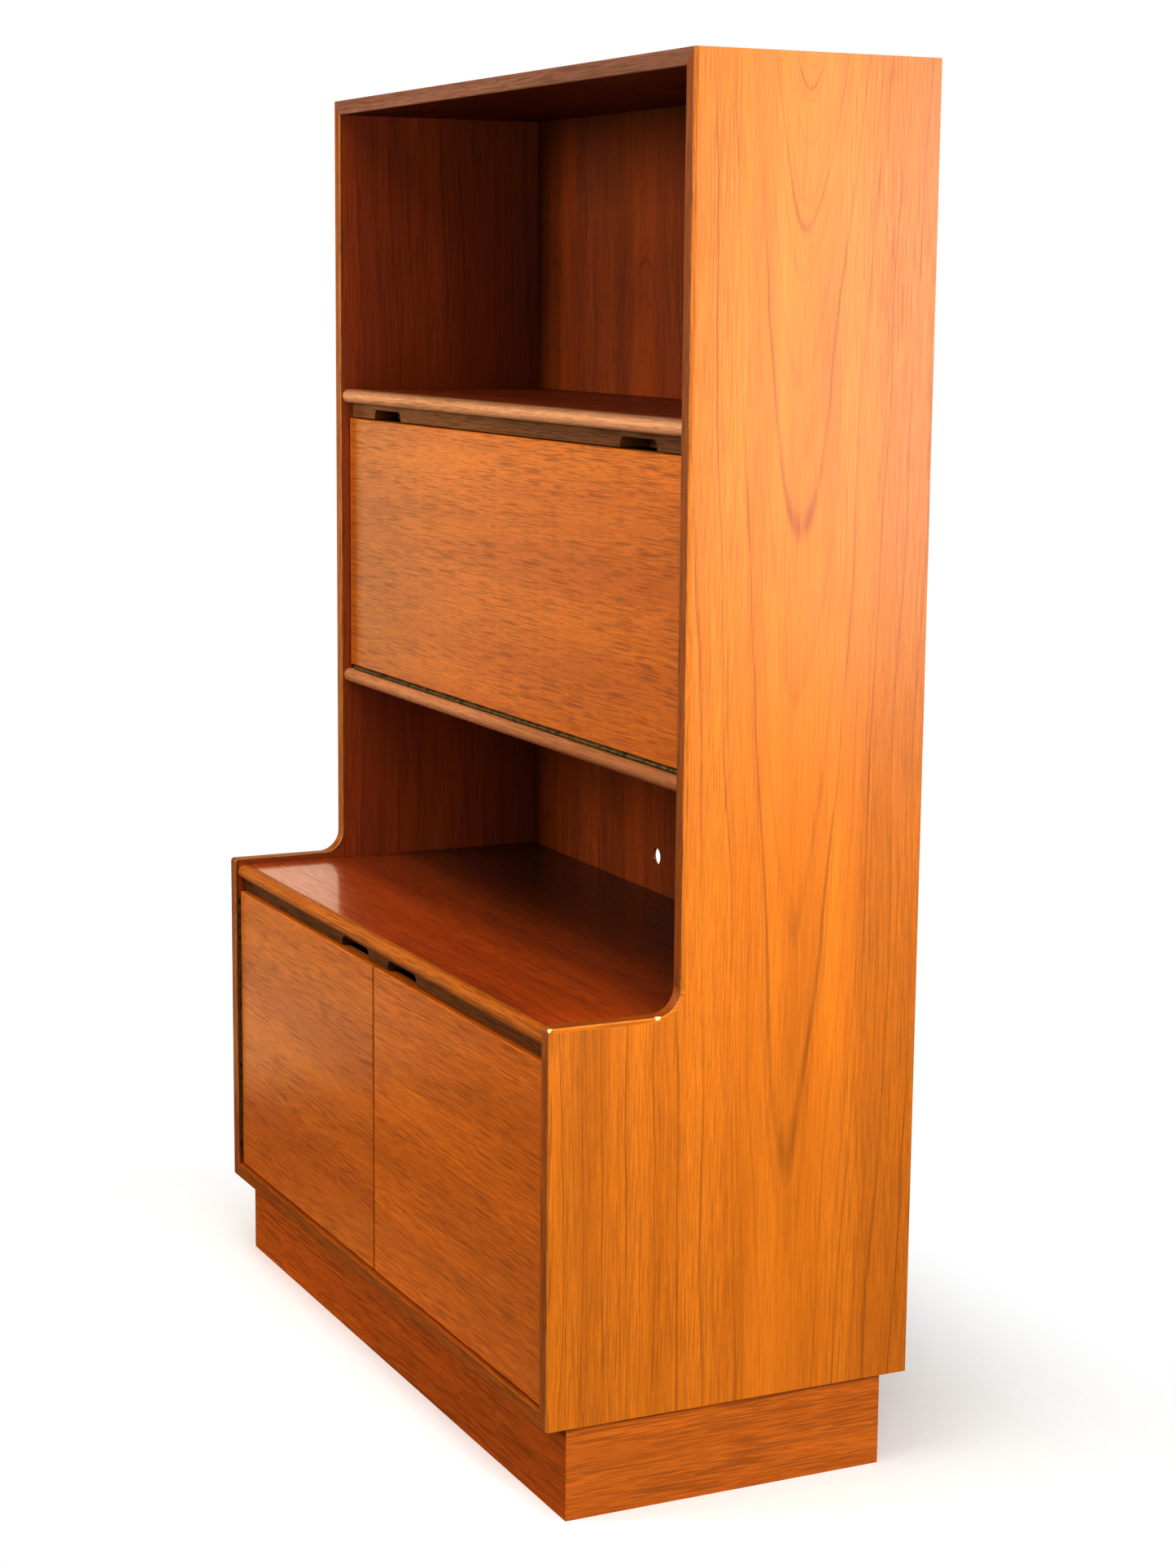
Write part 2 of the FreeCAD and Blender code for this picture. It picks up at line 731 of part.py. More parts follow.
def door_and_hinge(name, side):
    """One inset door, hung at its outer front edge. Returns the screws that go into the upright."""
    length = door_top - door_bottom - 2 * D["door_hinge_inset"]
    middle = (door_top + door_bottom) / 2
    place = (side * door_axis_offset, door_front, middle)
    turn = Rotation(Vector(0, 1, 0), -90 * side)
    prefix = f"door_{name}_hinge"
    fixed, moving = continuous_hinge(prefix, length, DOOR_KNUCKLES, place, turn)
    half_row = (length / 2 - D["door_screw_end_distance"]).number
    along = [middle.number + z for z in spread(half_row, DOOR_SCREWS)]
    screw_y = (door_front + D["hinge_screw_line"]).number
    side_face = (side * (inside - D["leaf_thickness"])).number
    door_face = (side * (door_hinge_edge + D["leaf_thickness"])).number
    side_places = [Vector(side_face, screw_y, z) for z in along]
    door_places = [Vector(door_face, screw_y, z) for z in along]
    side_screws = hinge_screws(f"door_{name}_side_screws", side_places, Vector(side, 0, 0))
    door_screws = hinge_screws(f"door_{name}_hinge_screws", door_places, Vector(-side, 0, 0))
    node(door_screws.Label, door_screws)

    across = mirrored_span(side, D["door_meeting_gap"] / 2, door_hinge_edge)
    door = bar(f"door_{name}_blank", "XZ", rectangle(across, (door_bottom, door_top)), door_front, board)
    round_edges(door, D["panel_arris"], lambda edge: True)
    node(f"door_{name}", drilled(f"door_{name}", door, door_screws))
    node(f"{prefix}_leaf_moving", drilled(f"{prefix}_leaf_moving_drilled", moving, door_screws))
    node(f"{prefix}_leaf_fixed", drilled(f"{prefix}_leaf_fixed_drilled", fixed, side_screws))
    return side_screws


def doors():
    """Both doors, and the screws that hold their hinges to the uprights."""
    screws = {name: door_and_hinge(name, side) for name, side in SIDES}
    node("door_hinge_screws_fixed", fused("door_hinge_screws_fixed", *screws.values()))
    return screws


# ---------------------------------------------------------------- loose shelves and catches

def pegs():
    """Four pegs for each loose shelf, half in the upright and half under the shelf."""
    shelf_front = door_back + D["cabinet_shelf_front_gap"]
    letter_front = back_inner - D["letter_shelf_depth"]
    reach = D["peg_end_distance"]
    rows = [
        (D["cabinet_shelf_level"], shelf_front + reach, back_inner - reach),
        (D["letter_shelf_level"], letter_front + reach, back_inner - reach),
    ]
    groups = {}
    for name, side in SIDES:
        x_span = mirrored_span(side, inside + D["peg_depth"] - D["peg_length"], inside + D["peg_depth"])
        made = []
        for level, *depths in rows:
            height = level - board - D["peg_radius"]
            for depth in depths:
                made.append(rod_along_x(f"peg_{name}", x_span, depth, height, D["peg_radius"]))
        groups[name] = fused(f"pegs_{name}", *made)
    node("shelf_pegs", fused("shelf_pegs", *groups.values()))
    return groups


def loose_shelf(label, level, shelf_front):
    """A shelf that rests on pegs, a little shorter than the space between the uprights."""
    half = inside - D["shelf_end_gap"]
    body = bar(label, "XZ", rectangle((-half, half), (level - board, level)), shelf_front,
               back_inner - D["shelf_end_gap"] - shelf_front)
    on_front = lambda edge: lies_at(edge, "y", shelf_front) and edge.Length > LONG_EDGE
    round_edges(body, D["panel_arris"], on_front)
    return node(label, body)


def magnetic_catches(label, offset, closed_face, rail_bottom):
    """Two catch bodies under a rail, just behind the strike plates of what they hold."""
    catch_front = closed_face + D["strike_thickness"] + D["catch_gap"]
    bodies = []
    for name, side in SIDES:
        middle = side * offset
        half = D["catch_width"] / 2
        bodies.append(block(f"{label}_{name}", (middle - half, middle + half),
                            (catch_front, catch_front + D["catch_depth"]),
                            (rail_bottom - D["catch_height"], rail_bottom)))
    return node(label, fused(label, *bodies))


def strike_plate(name, middle, closed_face, panel_top):
    """A thin steel plate on the inside of a flap or door, facing its catch."""
    half = D["strike_width"] / 2
    centre = panel_top - D["catch_height"] / 2
    return block(name, (middle - half, middle + half), (closed_face, closed_face + D["strike_thickness"]),
                 (centre - D["strike_height"] / 2, centre + D["strike_height"] / 2))


def catches():
    magnetic_catches("flap_catches", D["flap_catch_offset"], flap_back, flap_rail_bottom)
    magnetic_catches("door_catches", D["door_catch_offset"], door_back, door_rail_bottom)
    plates = [strike_plate(f"flap_strike_{name}", side * D["flap_catch_offset"], flap_back, flap_top)
              for name, side in SIDES]
    node("flap_strikes", fused("flap_strikes", *plates))
    for name, side in SIDES:
        label = f"door_{name}_strike"
        node(label, strike_plate(label, side * D["door_catch_offset"], door_back, door_top))


# ---------------------------------------------------------------- flap stays

# Each stay is a rod that turns on a pin on the flap and slides through a block that turns on the
# upright. Pin and block are equally far from the flap's axis, so the rod always turns by exactly
# half of the flap's angle.
eye_y = flap_front + D["stay_reach"] * cosine(D["stay_eye_angle"])
eye_z = flap_axis_level + D["stay_reach"] * sine(D["stay_eye_angle"])
pivot_y = flap_front + D["stay_reach"] * cosine(D["stay_block_angle"])
pivot_z = flap_axis_level + D["stay_reach"] * sine(D["stay_block_angle"])
rod_angle = (D["stay_eye_angle"] + D["stay_block_angle"]) / 2 - 90
stay_x = inside - D["stay_side_distance"]
open_half_angle = (D["stay_eye_angle"] - D["stay_block_angle"] + 90) / 2
open_distance = 2 * D["stay_reach"] * sine(open_half_angle)


def stay_rod(name, side):
    """The rod in its own frame: eye at the origin, shank along +Y, a collar at the far end."""
    label = f"stay_{name}_rod"
    half_eye = D["rod_eye_thickness"] / 2
    shank_end = open_distance + D["block_half_length"] + D["stay_gap"]
    body = new_body(label)
    eye = new_sketch(body, "YZ", -half_eye)
    draw_circle(eye, 0, 0, D["rod_eye_radius"])
    pad(body, eye, "YZ", D["rod_eye_thickness"])
    neck = new_sketch(body, "YZ", -half_eye)
    neck_half = D["rod_radius"] + D["stay_gap"]
    neck_end = D["rod_neck_length"] + D["rod_neck_overlap"]
    draw_outline(neck, rectangle((0, neck_end), (-neck_half, neck_half)))
    pad(body, neck, "YZ", D["rod_eye_thickness"])
    shank = new_sketch(body, "XZ", D["rod_neck_length"])
    draw_circle(shank, 0, 0, D["rod_radius"])
    pad(body, shank, "XZ", shank_end - D["rod_neck_length"])
    collar = new_sketch(body, "XZ", shank_end)
    draw_circle(collar, 0, 0, D["rod_collar_radius"])
    pad(body, collar, "XZ", D["rod_collar_length"])
    bore = new_sketch(body, "YZ", 0)
    draw_circle(bore, 0, 0, D["stay_pin_radius"] + D["running_clearance"])
    hole = body.newObject("PartDesign::Pocket", f"{label}_bore")
    hole.Profile = bore
    hole.Type = "ThroughAll"
    hole.SideType = "Symmetric"
    move(body, side * stay_x, eye_y, eye_z, Rotation(Vector(1, 0, 0), rod_angle.number))
    return node(label, body)


def stay_bracket(name, side):
    """A plate on the flap with an ear and a headed pin that carries the rod's eye."""
    label = f"stay_{name}_bracket"
    half_eye = D["rod_eye_thickness"] / 2
    ear = (stay_x + half_eye + D["stay_gap"], stay_x + half_eye + D["stay_gap"] + D["stay_plate"])
    plate = block(f"{label}_plate", mirrored_span(side, ear[1] - D["bracket_width"], ear[1]),
                  (flap_back, flap_back + D["stay_plate"]),
                  (eye_z - D["bracket_half_height"], eye_z + D["bracket_half_height"]))
    web = block(f"{label}_web", mirrored_span(side, *ear), (flap_back, eye_y),
                (eye_z - D["rod_eye_radius"], eye_z + D["rod_eye_radius"]))
    rounded = rod_along_x(f"{label}_ear", mirrored_span(side, *ear), eye_y, eye_z, D["rod_eye_radius"])
    head = (stay_x - half_eye - D["stay_gap"] - D["pin_head_thickness"], stay_x - half_eye - D["stay_gap"])
    pin = rod_along_x(f"{label}_pin", mirrored_span(side, head[0], ear[1]), eye_y, eye_z,
                      D["stay_pin_radius"])
    cap = rod_along_x(f"{label}_cap", mirrored_span(side, *head), eye_y, eye_z,
                      D["stay_pin_radius"] + D["pin_head_overhang"])
    return node(label, fused(label, plate, web, rounded, pin, cap))


def stay_block(name, side):
    """A block bored for the rod along Y and for the upright's stud along X, in its own frame."""
    label = f"stay_{name}_block"
    body = new_body(label)
    half = D["block_half_length"]
    high = D["block_half_height"]
    depth = side * D["block_shift"] - D["block_thickness"] / 2
    outline = new_sketch(body, "YZ", depth)
    draw_outline(outline, rectangle((-half, half), (-high, high)))
    pad(body, outline, "YZ", D["block_thickness"])
    round_edges(body, D["arris"], lambda edge: abs(edge.tangentAt(edge.FirstParameter).x) > 0.99)
    bore = new_sketch(body, "XZ", 0)
    draw_circle(bore, 0, 0, D["rod_radius"] + D["running_clearance"])
    hole = body.newObject("PartDesign::Pocket", f"{label}_bore")
    hole.Profile = bore
    hole.Type = "ThroughAll"
    hole.SideType = "Symmetric"
    outer = depth + D["block_thickness"] if side > 0 else depth
    socket = new_sketch(body, "YZ", outer)
    draw_circle(socket, 0, 0, D["stud_radius"] + D["running_clearance"])
    recess = body.newObject("PartDesign::Pocket", f"{label}_socket")
    recess.Profile = socket
    recess.Reversed = side < 0
    bind(recess, Length=D["stud_depth"] + D["stay_gap"])
    move(body, side * stay_x, pivot_y, pivot_z, Rotation(Vector(1, 0, 0), rod_angle.number))
    return node(label, body)


def stay_plates():
    """A plate with a stud on each upright, for the stay blocks to turn on."""
    for name, side in SIDES:
        plate_face = inside - D["stay_plate"]
        block_outer = stay_x + D["block_thickness"] / 2 + D["block_shift"]
        plate = block(f"stay_plate_{name}", mirrored_span(side, plate_face, inside),
                      (pivot_y - D["side_plate_half_width"], pivot_y + D["side_plate_half_width"]),
                      (pivot_z - D["side_plate_half_height"], pivot_z + D["side_plate_half_height"]))
        stud = rod_along_x(f"stay_stud_{name}", mirrored_span(side, block_outer - D["stud_depth"], inside),
                           pivot_y, pivot_z, D["stud_radius"])
        label = f"stay_{name}_side_plate"
        node(label, fused(label, plate, stud))


# ---------------------------------------------------------------- the whole desk

def build():
    upper_nose = upper_front + D["upper_nosing_setback"]
    lower_nose = front + D["lower_nosing_setback"]
    back_fixings = back_screws()
    peg_groups = pegs()
    door_fixings = doors()
    for name, side in SIDES:
        panel = side_panel(name, side)
        label = f"side_panel_{name}"
        node(label, drilled(label, panel, back_fixings, peg_groups[name], door_fixings[name]))
        upper_lipping(name, side)
        step_lipping(name, side)
        lower_lipping(name, side)
        stay_rod(name, side)
        stay_bracket(name, side)
        stay_block(name, side)
    stay_plates()

    node("top_panel", drilled("top_panel", end_board("top_blank", top - board, top, True), back_fixings))
    bottom_blank = end_board("bottom_blank", plinth_top, floor_level, False)
    node("bottom_panel", drilled("bottom_panel", bottom_blank, back_fixings))
    end_lipping("top_lipping", top - board, top, True)
    end_lipping("bottom_lipping", plinth_top, floor_level, False)
    node("back_panel", drilled("back_panel", back_panel(), back_fixings))

    upper_shelf = fixed_shelf("upper_shelf_blank", D["upper_shelf_level"], upper_nose)
    node("upper_shelf", drilled("upper_shelf", upper_shelf, back_fixings))
    cabinet_top = fixed_shelf("cabinet_top_blank", D["cabinet_top_level"], lower_nose)
    node("cabinet_top", drilled("cabinet_top", cabinet_top, back_fixings))
    desk_blank = fixed_shelf("desk_shelf_blank", D["desk_level"], upper_nose)
    flap_and_hinge(drilled("desk_shelf_backed", desk_blank, back_fixings))
    nosing("upper_shelf_nosing", D["upper_shelf_level"], upper_nose)
    nosing("desk_shelf_nosing", D["desk_level"], upper_nose)
    nosing("cabinet_top_nosing", D["cabinet_top_level"], lower_nose)
    notched_rail("flap_rail", upper_front + D["flap_rail_setback"], flap_rail_bottom,
                 D["flap_rail_height"], D["flap_notch_offset"])
    notched_rail("door_rail", front + D["door_rail_setback"], door_rail_bottom,
                 D["door_rail_height"], D["door_notch_offset"])
    loose_shelf("cabinet_shelf", D["cabinet_shelf_level"], door_back + D["cabinet_shelf_front_gap"])
    loose_shelf("letter_shelf", D["letter_shelf_level"], back_inner - D["letter_shelf_depth"])
    plinth()
    catches()


def check():
    """Stop if any object failed, or any piece is empty or not valid."""
    doc.recompute()
    broken = [piece.Label for piece in doc.Objects if {"Invalid", "Error"} & set(piece.State)]
    for label, piece in nodes.items():
        shape = piece.Shape
        if shape.isNull() or not shape.isValid() or not shape.Solids:
            broken.append(label)
    if broken:
        raise RuntimeError(f"these did not build: {sorted(set(broken))}")


def write():
    os.makedirs("parts", exist_ok=True)
    for label, piece in nodes.items():
        piece.Shape.exportStep(f"parts/{label}.step")
        box = piece.Shape.BoundBox
        print(f"{label:28s} {len(piece.Shape.Solids):3d} solid  {piece.Shape.Volume / 1000:9.2f} cm3  "
              f"x {box.XMin:7.1f} {box.XMax:7.1f}  y {box.YMin:7.1f} {box.YMax:7.1f}  "
              f"z {box.ZMin:7.1f} {box.ZMax:7.1f}")
    print(f"{len(nodes)} pieces")


build()
check()
write()
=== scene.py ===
import json
import math

import bmesh
import bpy
from mathutils import Matrix, Vector

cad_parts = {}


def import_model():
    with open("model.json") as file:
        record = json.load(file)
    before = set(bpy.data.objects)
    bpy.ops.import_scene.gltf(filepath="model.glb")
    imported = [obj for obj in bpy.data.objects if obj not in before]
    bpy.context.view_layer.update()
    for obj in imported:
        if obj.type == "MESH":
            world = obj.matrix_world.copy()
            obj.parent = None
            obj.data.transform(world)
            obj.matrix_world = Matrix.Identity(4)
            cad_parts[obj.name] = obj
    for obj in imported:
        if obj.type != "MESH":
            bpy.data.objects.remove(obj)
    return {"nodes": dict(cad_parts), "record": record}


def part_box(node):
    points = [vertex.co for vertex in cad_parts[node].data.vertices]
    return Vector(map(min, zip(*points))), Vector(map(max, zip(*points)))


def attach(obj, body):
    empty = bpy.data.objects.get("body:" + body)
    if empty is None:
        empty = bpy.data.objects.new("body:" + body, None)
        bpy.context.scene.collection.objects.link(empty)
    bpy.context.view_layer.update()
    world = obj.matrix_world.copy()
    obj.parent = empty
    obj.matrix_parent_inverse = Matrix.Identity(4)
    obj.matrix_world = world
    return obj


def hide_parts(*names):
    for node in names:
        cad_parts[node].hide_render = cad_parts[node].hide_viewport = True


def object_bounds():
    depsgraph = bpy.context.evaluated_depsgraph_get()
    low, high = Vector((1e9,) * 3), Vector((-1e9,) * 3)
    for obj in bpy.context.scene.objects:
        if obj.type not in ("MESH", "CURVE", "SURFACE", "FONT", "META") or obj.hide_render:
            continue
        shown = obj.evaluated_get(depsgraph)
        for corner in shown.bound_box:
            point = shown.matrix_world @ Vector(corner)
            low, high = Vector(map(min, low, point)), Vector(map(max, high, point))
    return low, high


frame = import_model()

cad_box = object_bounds()
NODES = frame["nodes"]
BODY_OF = {name: body for body, names in frame["record"]["behaviour"]["bodies"].items() for name in names}
AXES = "XYZ"
FRONT = cad_box[0].y
REAR = cad_box[1].y
HALF_WIDTH = cad_box[1].x
STEP_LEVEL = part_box("lower_lipping_right")[1].z

# Woods, as sRGB hex text: the light wood, the darker wood, and the lines and pores.
VENEER = ("E2841E", "D07616", "82460E")
INNER_VENEER = ("B44C0A", "A04006", "501602")
BACK_VENEER = ("8A3C08", "722E06", "381402")
# The next, darkest veneer is painted shade: a darker copy for the top's underside and the upper shelf.
PAINTED_SHADE_VENEER = ("762C06", "662204", "300C02")
FRONT_VENEER = ("C66A12", "B45A0E", "682C08")
DOOR_VENEER = ("CE6C12", "BC600E", "6E320A")
LIPPING = ("A05414", "8C470C", "542406")
TOP_LIPPING = ("90624A", "7C503A", "502E1C")
PLYWOOD = ("C2905A", "B07E4A", "7C522C")
# The pale nosing colour is painted light: a paler copy of the nosing for the upper shelf.
PAINTED_LIGHT_NOSING = ("CE9468", "BA8054", "80542F")
NOSING = ("B0744A", "9C6038", "6A3E1E")
DEEP_NOSING = ("B4661E", "A05614", "62300C")
PLINTH = ("DA7822", "C66A1A", "763C0C")
PLINTH_FRONT = ("B45408", "9E4806", "5C2A04")
RAIL = ("7E4A20", "683A16", "361C0A")
# The door rail's colour is painted shade: a darker copy of the rail.
PAINTED_SHADE_RAIL = ("683812", "542A0A", "2A1404")

# Where the wood is worn and its arrises carry a painted highlight, chipped or scratched, and the blockboard
# core's lightest and darkest chips.
WORN_AND_HIGHLIT = "CC8A4C"
BARE = "F2CFA0"
SCRATCHED = "3A1A08"
CORE = ("B88C5C", "8A6238")

# The wood's grain, in metres: each mark's length and width, and a chip's size along X, Y and Z.
FIBRES = (0.09, 0.0022)
FLECKS = (0.060, 0.0030)
PORES = (0.024, 0.0013)
CORE_CHIPS = (0.006, 0.003, 0.0025)

# How dark the wood is through one growth ring, and through the fainter lines inside it.
RING_PROFILE = ((0, 0.1), (0.04, 0), (0.55, 0.02), (0.92, 0.16), (0.965, 1), (1, 0.3))
FAINT_PROFILE = ((0, 0.1), (0.1, 0), (0.8, 0.05), (0.94, 1), (1, 0.3))
FAINT_LINES_PER_RING = 2.7
FAINT_STRENGTH = 0.4

# A figure leans over with the depth into the board, so that it carries on round the edges.
LEAN = 0.35
# Where the flat-sawn figures have their middle, in the leaning coordinate that teak() makes.
SIDE_HEART = 0.066 + LEAN * HALF_WIDTH
BACK_HEART = -0.5635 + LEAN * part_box("back_panel")[0].y

# How far a face's own colour reaches into the board, and the blur at its border, in metres.
SKIN = 0.0003
LIPPING_SKIN = 0.0008
REAR_SKIN = 0.0004
OUTER_PLY = 0.0012
SKIN_BLUR = 0.0002

# Small chips on the right step, as places and radii: on its front corner, and where the hollow
# curve begins.
NICKS = (((HALF_WIDTH - 0.0015, FRONT + 0.0015, STEP_LEVEL - 0.0008), 0.0035),
         ((HALF_WIDTH - 0.001, FRONT + 0.126, STEP_LEVEL + 0.0005), 0.0045))

# Points of a mesh that are nearer than this are one point, in metres.
SAME_POINT = 0.00001
# Edges between faces that turn by more than this are sharp, in degrees.
SHARP_ANGLE = 32

# Slotted screws. The slot's length, width and depth are shares of the head's radius, the radii of
# the thread and the point are shares of the shank's, the turn from one screw's slot to the next
# one's is in radians, and the rest is in metres.
SCREW_SIDES = 32
SLOT_HALF_LENGTH = 0.86
SLOT_HALF_WIDTH = 0.16
SLOT_DEPTH = 0.3
SLOT_TURN = 2.4
SLOT_EDGE = 0.0002
HEAD_EDGE = 0.0001
HEAD_FLAT = 0.9
THREAD_PITCH = 0.0011
THREAD_START = 0.001
THREAD_ROOT = 0.74
THREAD_CREST = 0.98
POINT_NECK = 0.7
POINT_TIP = 0.2

# Magnetic catches, in metres: the housing, its screw ears, the magnet's steel poles and the ribs.
HOUSING_ROUND = 0.0012
EAR_LENGTH = 0.008
EAR_THICKNESS = 0.0025
EAR_SETBACK = 0.006
EAR_ROUND = 0.0008
POLE_THICKNESS = 0.0016
POLE_DEPTH = 0.01
POLE_PROUD = 0.0012
POLE_INSET = 0.003
POLE_ROUND = 0.0003
RIB_COUNT = 4
RIB_WIDTH = 0.002
RIB_PITCH = 0.0055
RIB_HEIGHT = 0.003
RIB_PROUD = 0.0006
RIB_FRONT_SETBACK = 0.008
RIB_REAR_SETBACK = 0.004
RIB_ROUND = 0.0005

# Pan-head screws and where they sit on the stay plates, in metres.
PAN_HEAD_RADIUS = 0.0024
PAN_HEAD_HEIGHT = 0.0012
PAN_HEAD_PROUD = 0.001
STAY_PLATE_THICKNESS = 0.002
BRACKET_SCREW_SPREAD = 0.015
BRACKET_SCREW_INSET = 0.005
SIDE_PLATE_SCREW_SPREAD = 0.017

# The floor's radius, and how far outside the desk's footprint it is still whole and is gone, in
# metres.
FLOOR_RADIUS = 3.2
FLOOR_WHOLE = 0.02
FLOOR_GONE = 0.45
# How strongly the white world lights the desk, where the background that the camera sees is 1.
WORLD_ON_DESK = 0.05


def linear(text):
    """A linear colour from sRGB hex text."""
    parts = [int(text[i:i + 2], 16) / 255 for i in (0, 2, 4)]
    return [p / 12.92 if p <= 0.04045 else ((p + 0.055) / 1.055) ** 2.4 for p in parts] + [1.0]


class Finish:
    """A material, with a short method for each kind of node that the finishes here use."""

    def __init__(self, name):
        self.material = bpy.data.materials.new(name)
        self.material.use_nodes = True
        self.tree = self.material.node_tree
        self.shader = self.tree.nodes["Principled BSDF"]

    def feed(self, socket, value):
        if isinstance(value, bpy.types.NodeSocket):
            self.tree.links.new(value, socket)
        else:
            socket.default_value = value

    def node(self, kind, inputs=None, **settings):
        made = self.tree.nodes.new(f"ShaderNode{kind}")
        for name, value in settings.items():
            setattr(made, name, value)
        for name, value in (inputs or {}).items():
            self.feed(made.inputs[name], value)
        return made

    def math(self, operation, first, second=0.0, clamp=False):
        made = self.node("Math", {0: first, 1: second}, operation=operation, use_clamp=clamp)
        return made.outputs[0]

    def add(self, first, second):
        return self.math("ADD", first, second)

    def times(self, first, second):
        return self.math("MULTIPLY", first, second)

    def between(self, value, low, high):
        """0 below low, 1 above high, and a smooth step in between. low may be above high."""
        made = self.node("MapRange", {"Value": value, "From Min": low, "From Max": high},
                         interpolation_type="SMOOTHSTEP")
        return made.outputs["Result"]

    def place(self):
        """The point on the piece, in the row frame at rest."""
        return self.node("TexCoord").outputs["Object"]

    def split(self, vector):
        made = self.node("SeparateXYZ", {"Vector": vector})
        return [made.outputs[axis] for axis in AXES]

    def stretched(self, vector, periods, seed=0.0):
        """The vector with each axis divided by its period, moved along by the seed."""
        made = self.node("Mapping", {"Vector": vector, "Scale": [1 / p for p in periods],
                                     "Location": [seed, seed * 1.7, seed * 0.6]})
        return made.outputs["Vector"]

    def noise(self, vector, detail=2.0, roughness=0.5):
        made = self.node("TexNoise", {"Vector": vector, "Scale": 1.0, "Detail": detail,
                                      "Roughness": roughness})
        return made.outputs["Fac"]

    def mix(self, factor, first, second, blend="MIX"):
        made = self.node("Mix", {0: factor, 6: first, 7: second}, data_type="RGBA", blend_type=blend)
        return made.outputs[2]

    def ramp(self, value, stops):
        """A number read from straight lines between (position, height) stops."""
        made = self.node("ValToRGB", {"Fac": value})
        while len(made.color_ramp.elements) < len(stops):
            made.color_ramp.elements.new(0.5)
        for element, (position, height) in zip(made.color_ramp.elements, stops):
            element.position = position
            element.color = (height, height, height, 1)
        return made.outputs["Color"]

    def bump(self, height, strength, distance):
        made = self.node("Bump", {"Strength": strength, "Distance": distance, "Height": height})
        self.feed(self.shader.inputs["Normal"], made.outputs["Normal"])

    def local_normal(self):
        world = self.node("NewGeometry").outputs["Normal"]
        made = self.node("VectorTransform", {"Vector": world}, vector_type="NORMAL",
                         convert_from="WORLD", convert_to="OBJECT")
        return self.split(made.outputs["Vector"])

    def set(self, **values):
        for name, value in values.items():
            self.feed(self.shader.inputs[name.replace("_", " ")], value)


# ---------------------------------------------------------------- teak

def periods(grain, along, across):
    """A period for each axis: long along the grain, short across it."""
    return [along if axis == grain else across for axis in AXES]


def cut_depth(wood, along, first, growth, start, sign):
    """How many rings deeper the slice is here than at the start level, which makes arches.

    The first arch's tip is at the distance first from the start, and each gap from one tip to the
    next is growth times the gap before."""
    distance = wood.times(wood.add(along, -start), sign)
    steps = wood.math("MAXIMUM", wood.math("DIVIDE", distance, first), 0.0)
    return wood.math("LOGARITHM", wood.add(wood.times(steps, growth - 1), 1.0), growth)


def ring_count(wood, place, grain, across, along, ring, leaf, arches, seed):
    """How many growth rings, and how many metres, a point is from the middle of its veneer leaf."""
    wander = wood.noise(wood.stretched(place, periods(grain, 0.42, 0.11), seed + 3), detail=1.5)
    ripple = wood.noise(wood.stretched(place, periods(grain, 0.05, 0.03), seed + 7), detail=1)
    across = wood.add(across, wood.times(wood.add(wander, -0.5), 0.034))
    across = wood.add(across, wood.times(wood.add(ripple, -0.5), 0.0022))
    if leaf:
        across = wood.add(wood.math("FLOORED_MODULO", across, leaf), -leaf / 2)
    rings = wood.math("DIVIDE", across, ring)
    if arches:
        depth = cut_depth(wood, along, *arches)
        rings = wood.math("SQRT", wood.add(wood.times(rings, rings), wood.times(depth, depth)))
    return rings, wood.math("ABSOLUTE", across)


def growth_lines(wood, rings, seed):
    """How dark a point is as part of a ring's last, dark wood, and as part of a fainter line."""
    faint_rings = wood.add(wood.times(rings, FAINT_LINES_PER_RING), seed)
    return (wood.ramp(wood.math("FRACT", rings), RING_PROFILE),
            wood.ramp(wood.math("FRACT", faint_rings), FAINT_PROFILE))


def pore_marks(wood, place, grain, seed, fine):
    """Short dark dashes along the grain, coarse ones in loose clusters and fine ones all over.

    fine is how many times thinner they are than on a flat-sawn face."""
    def marks(size, offset):
        length, width = size
        spread = wood.stretched(place, periods(grain, length, width / fine), seed + offset)
        return wood.between(wood.noise(spread, detail=0), 0.52, 0.68)

    cluster = wood.noise(wood.stretched(place, periods(grain, 0.35, 0.035), seed + 13), detail=2)
    coarse = wood.times(marks(FLECKS, 9), wood.add(wood.between(cluster, 0.3, 0.6), 0.35))
    return wood.math("MAXIMUM", coarse, wood.times(marks(PORES, 19), 0.8), clamp=True)


def tones(wood, coordinates, colours, inner):
    """The light, middle and dark tone, and how far a point belongs to the inner faces."""
    outer_tones = [linear(text) for text in colours]
    if not inner:
        return outer_tones, None
    axis, limit, inner_colours = inner
    from_middle = wood.math("ABSOLUTE", coordinates[axis])
    facing_in = wood.between(from_middle, limit + SKIN_BLUR, limit - SKIN_BLUR)
    mixed = [wood.mix(facing_in, tone, linear(text)) for tone, text in zip(outer_tones, inner_colours)]
    return mixed, facing_in


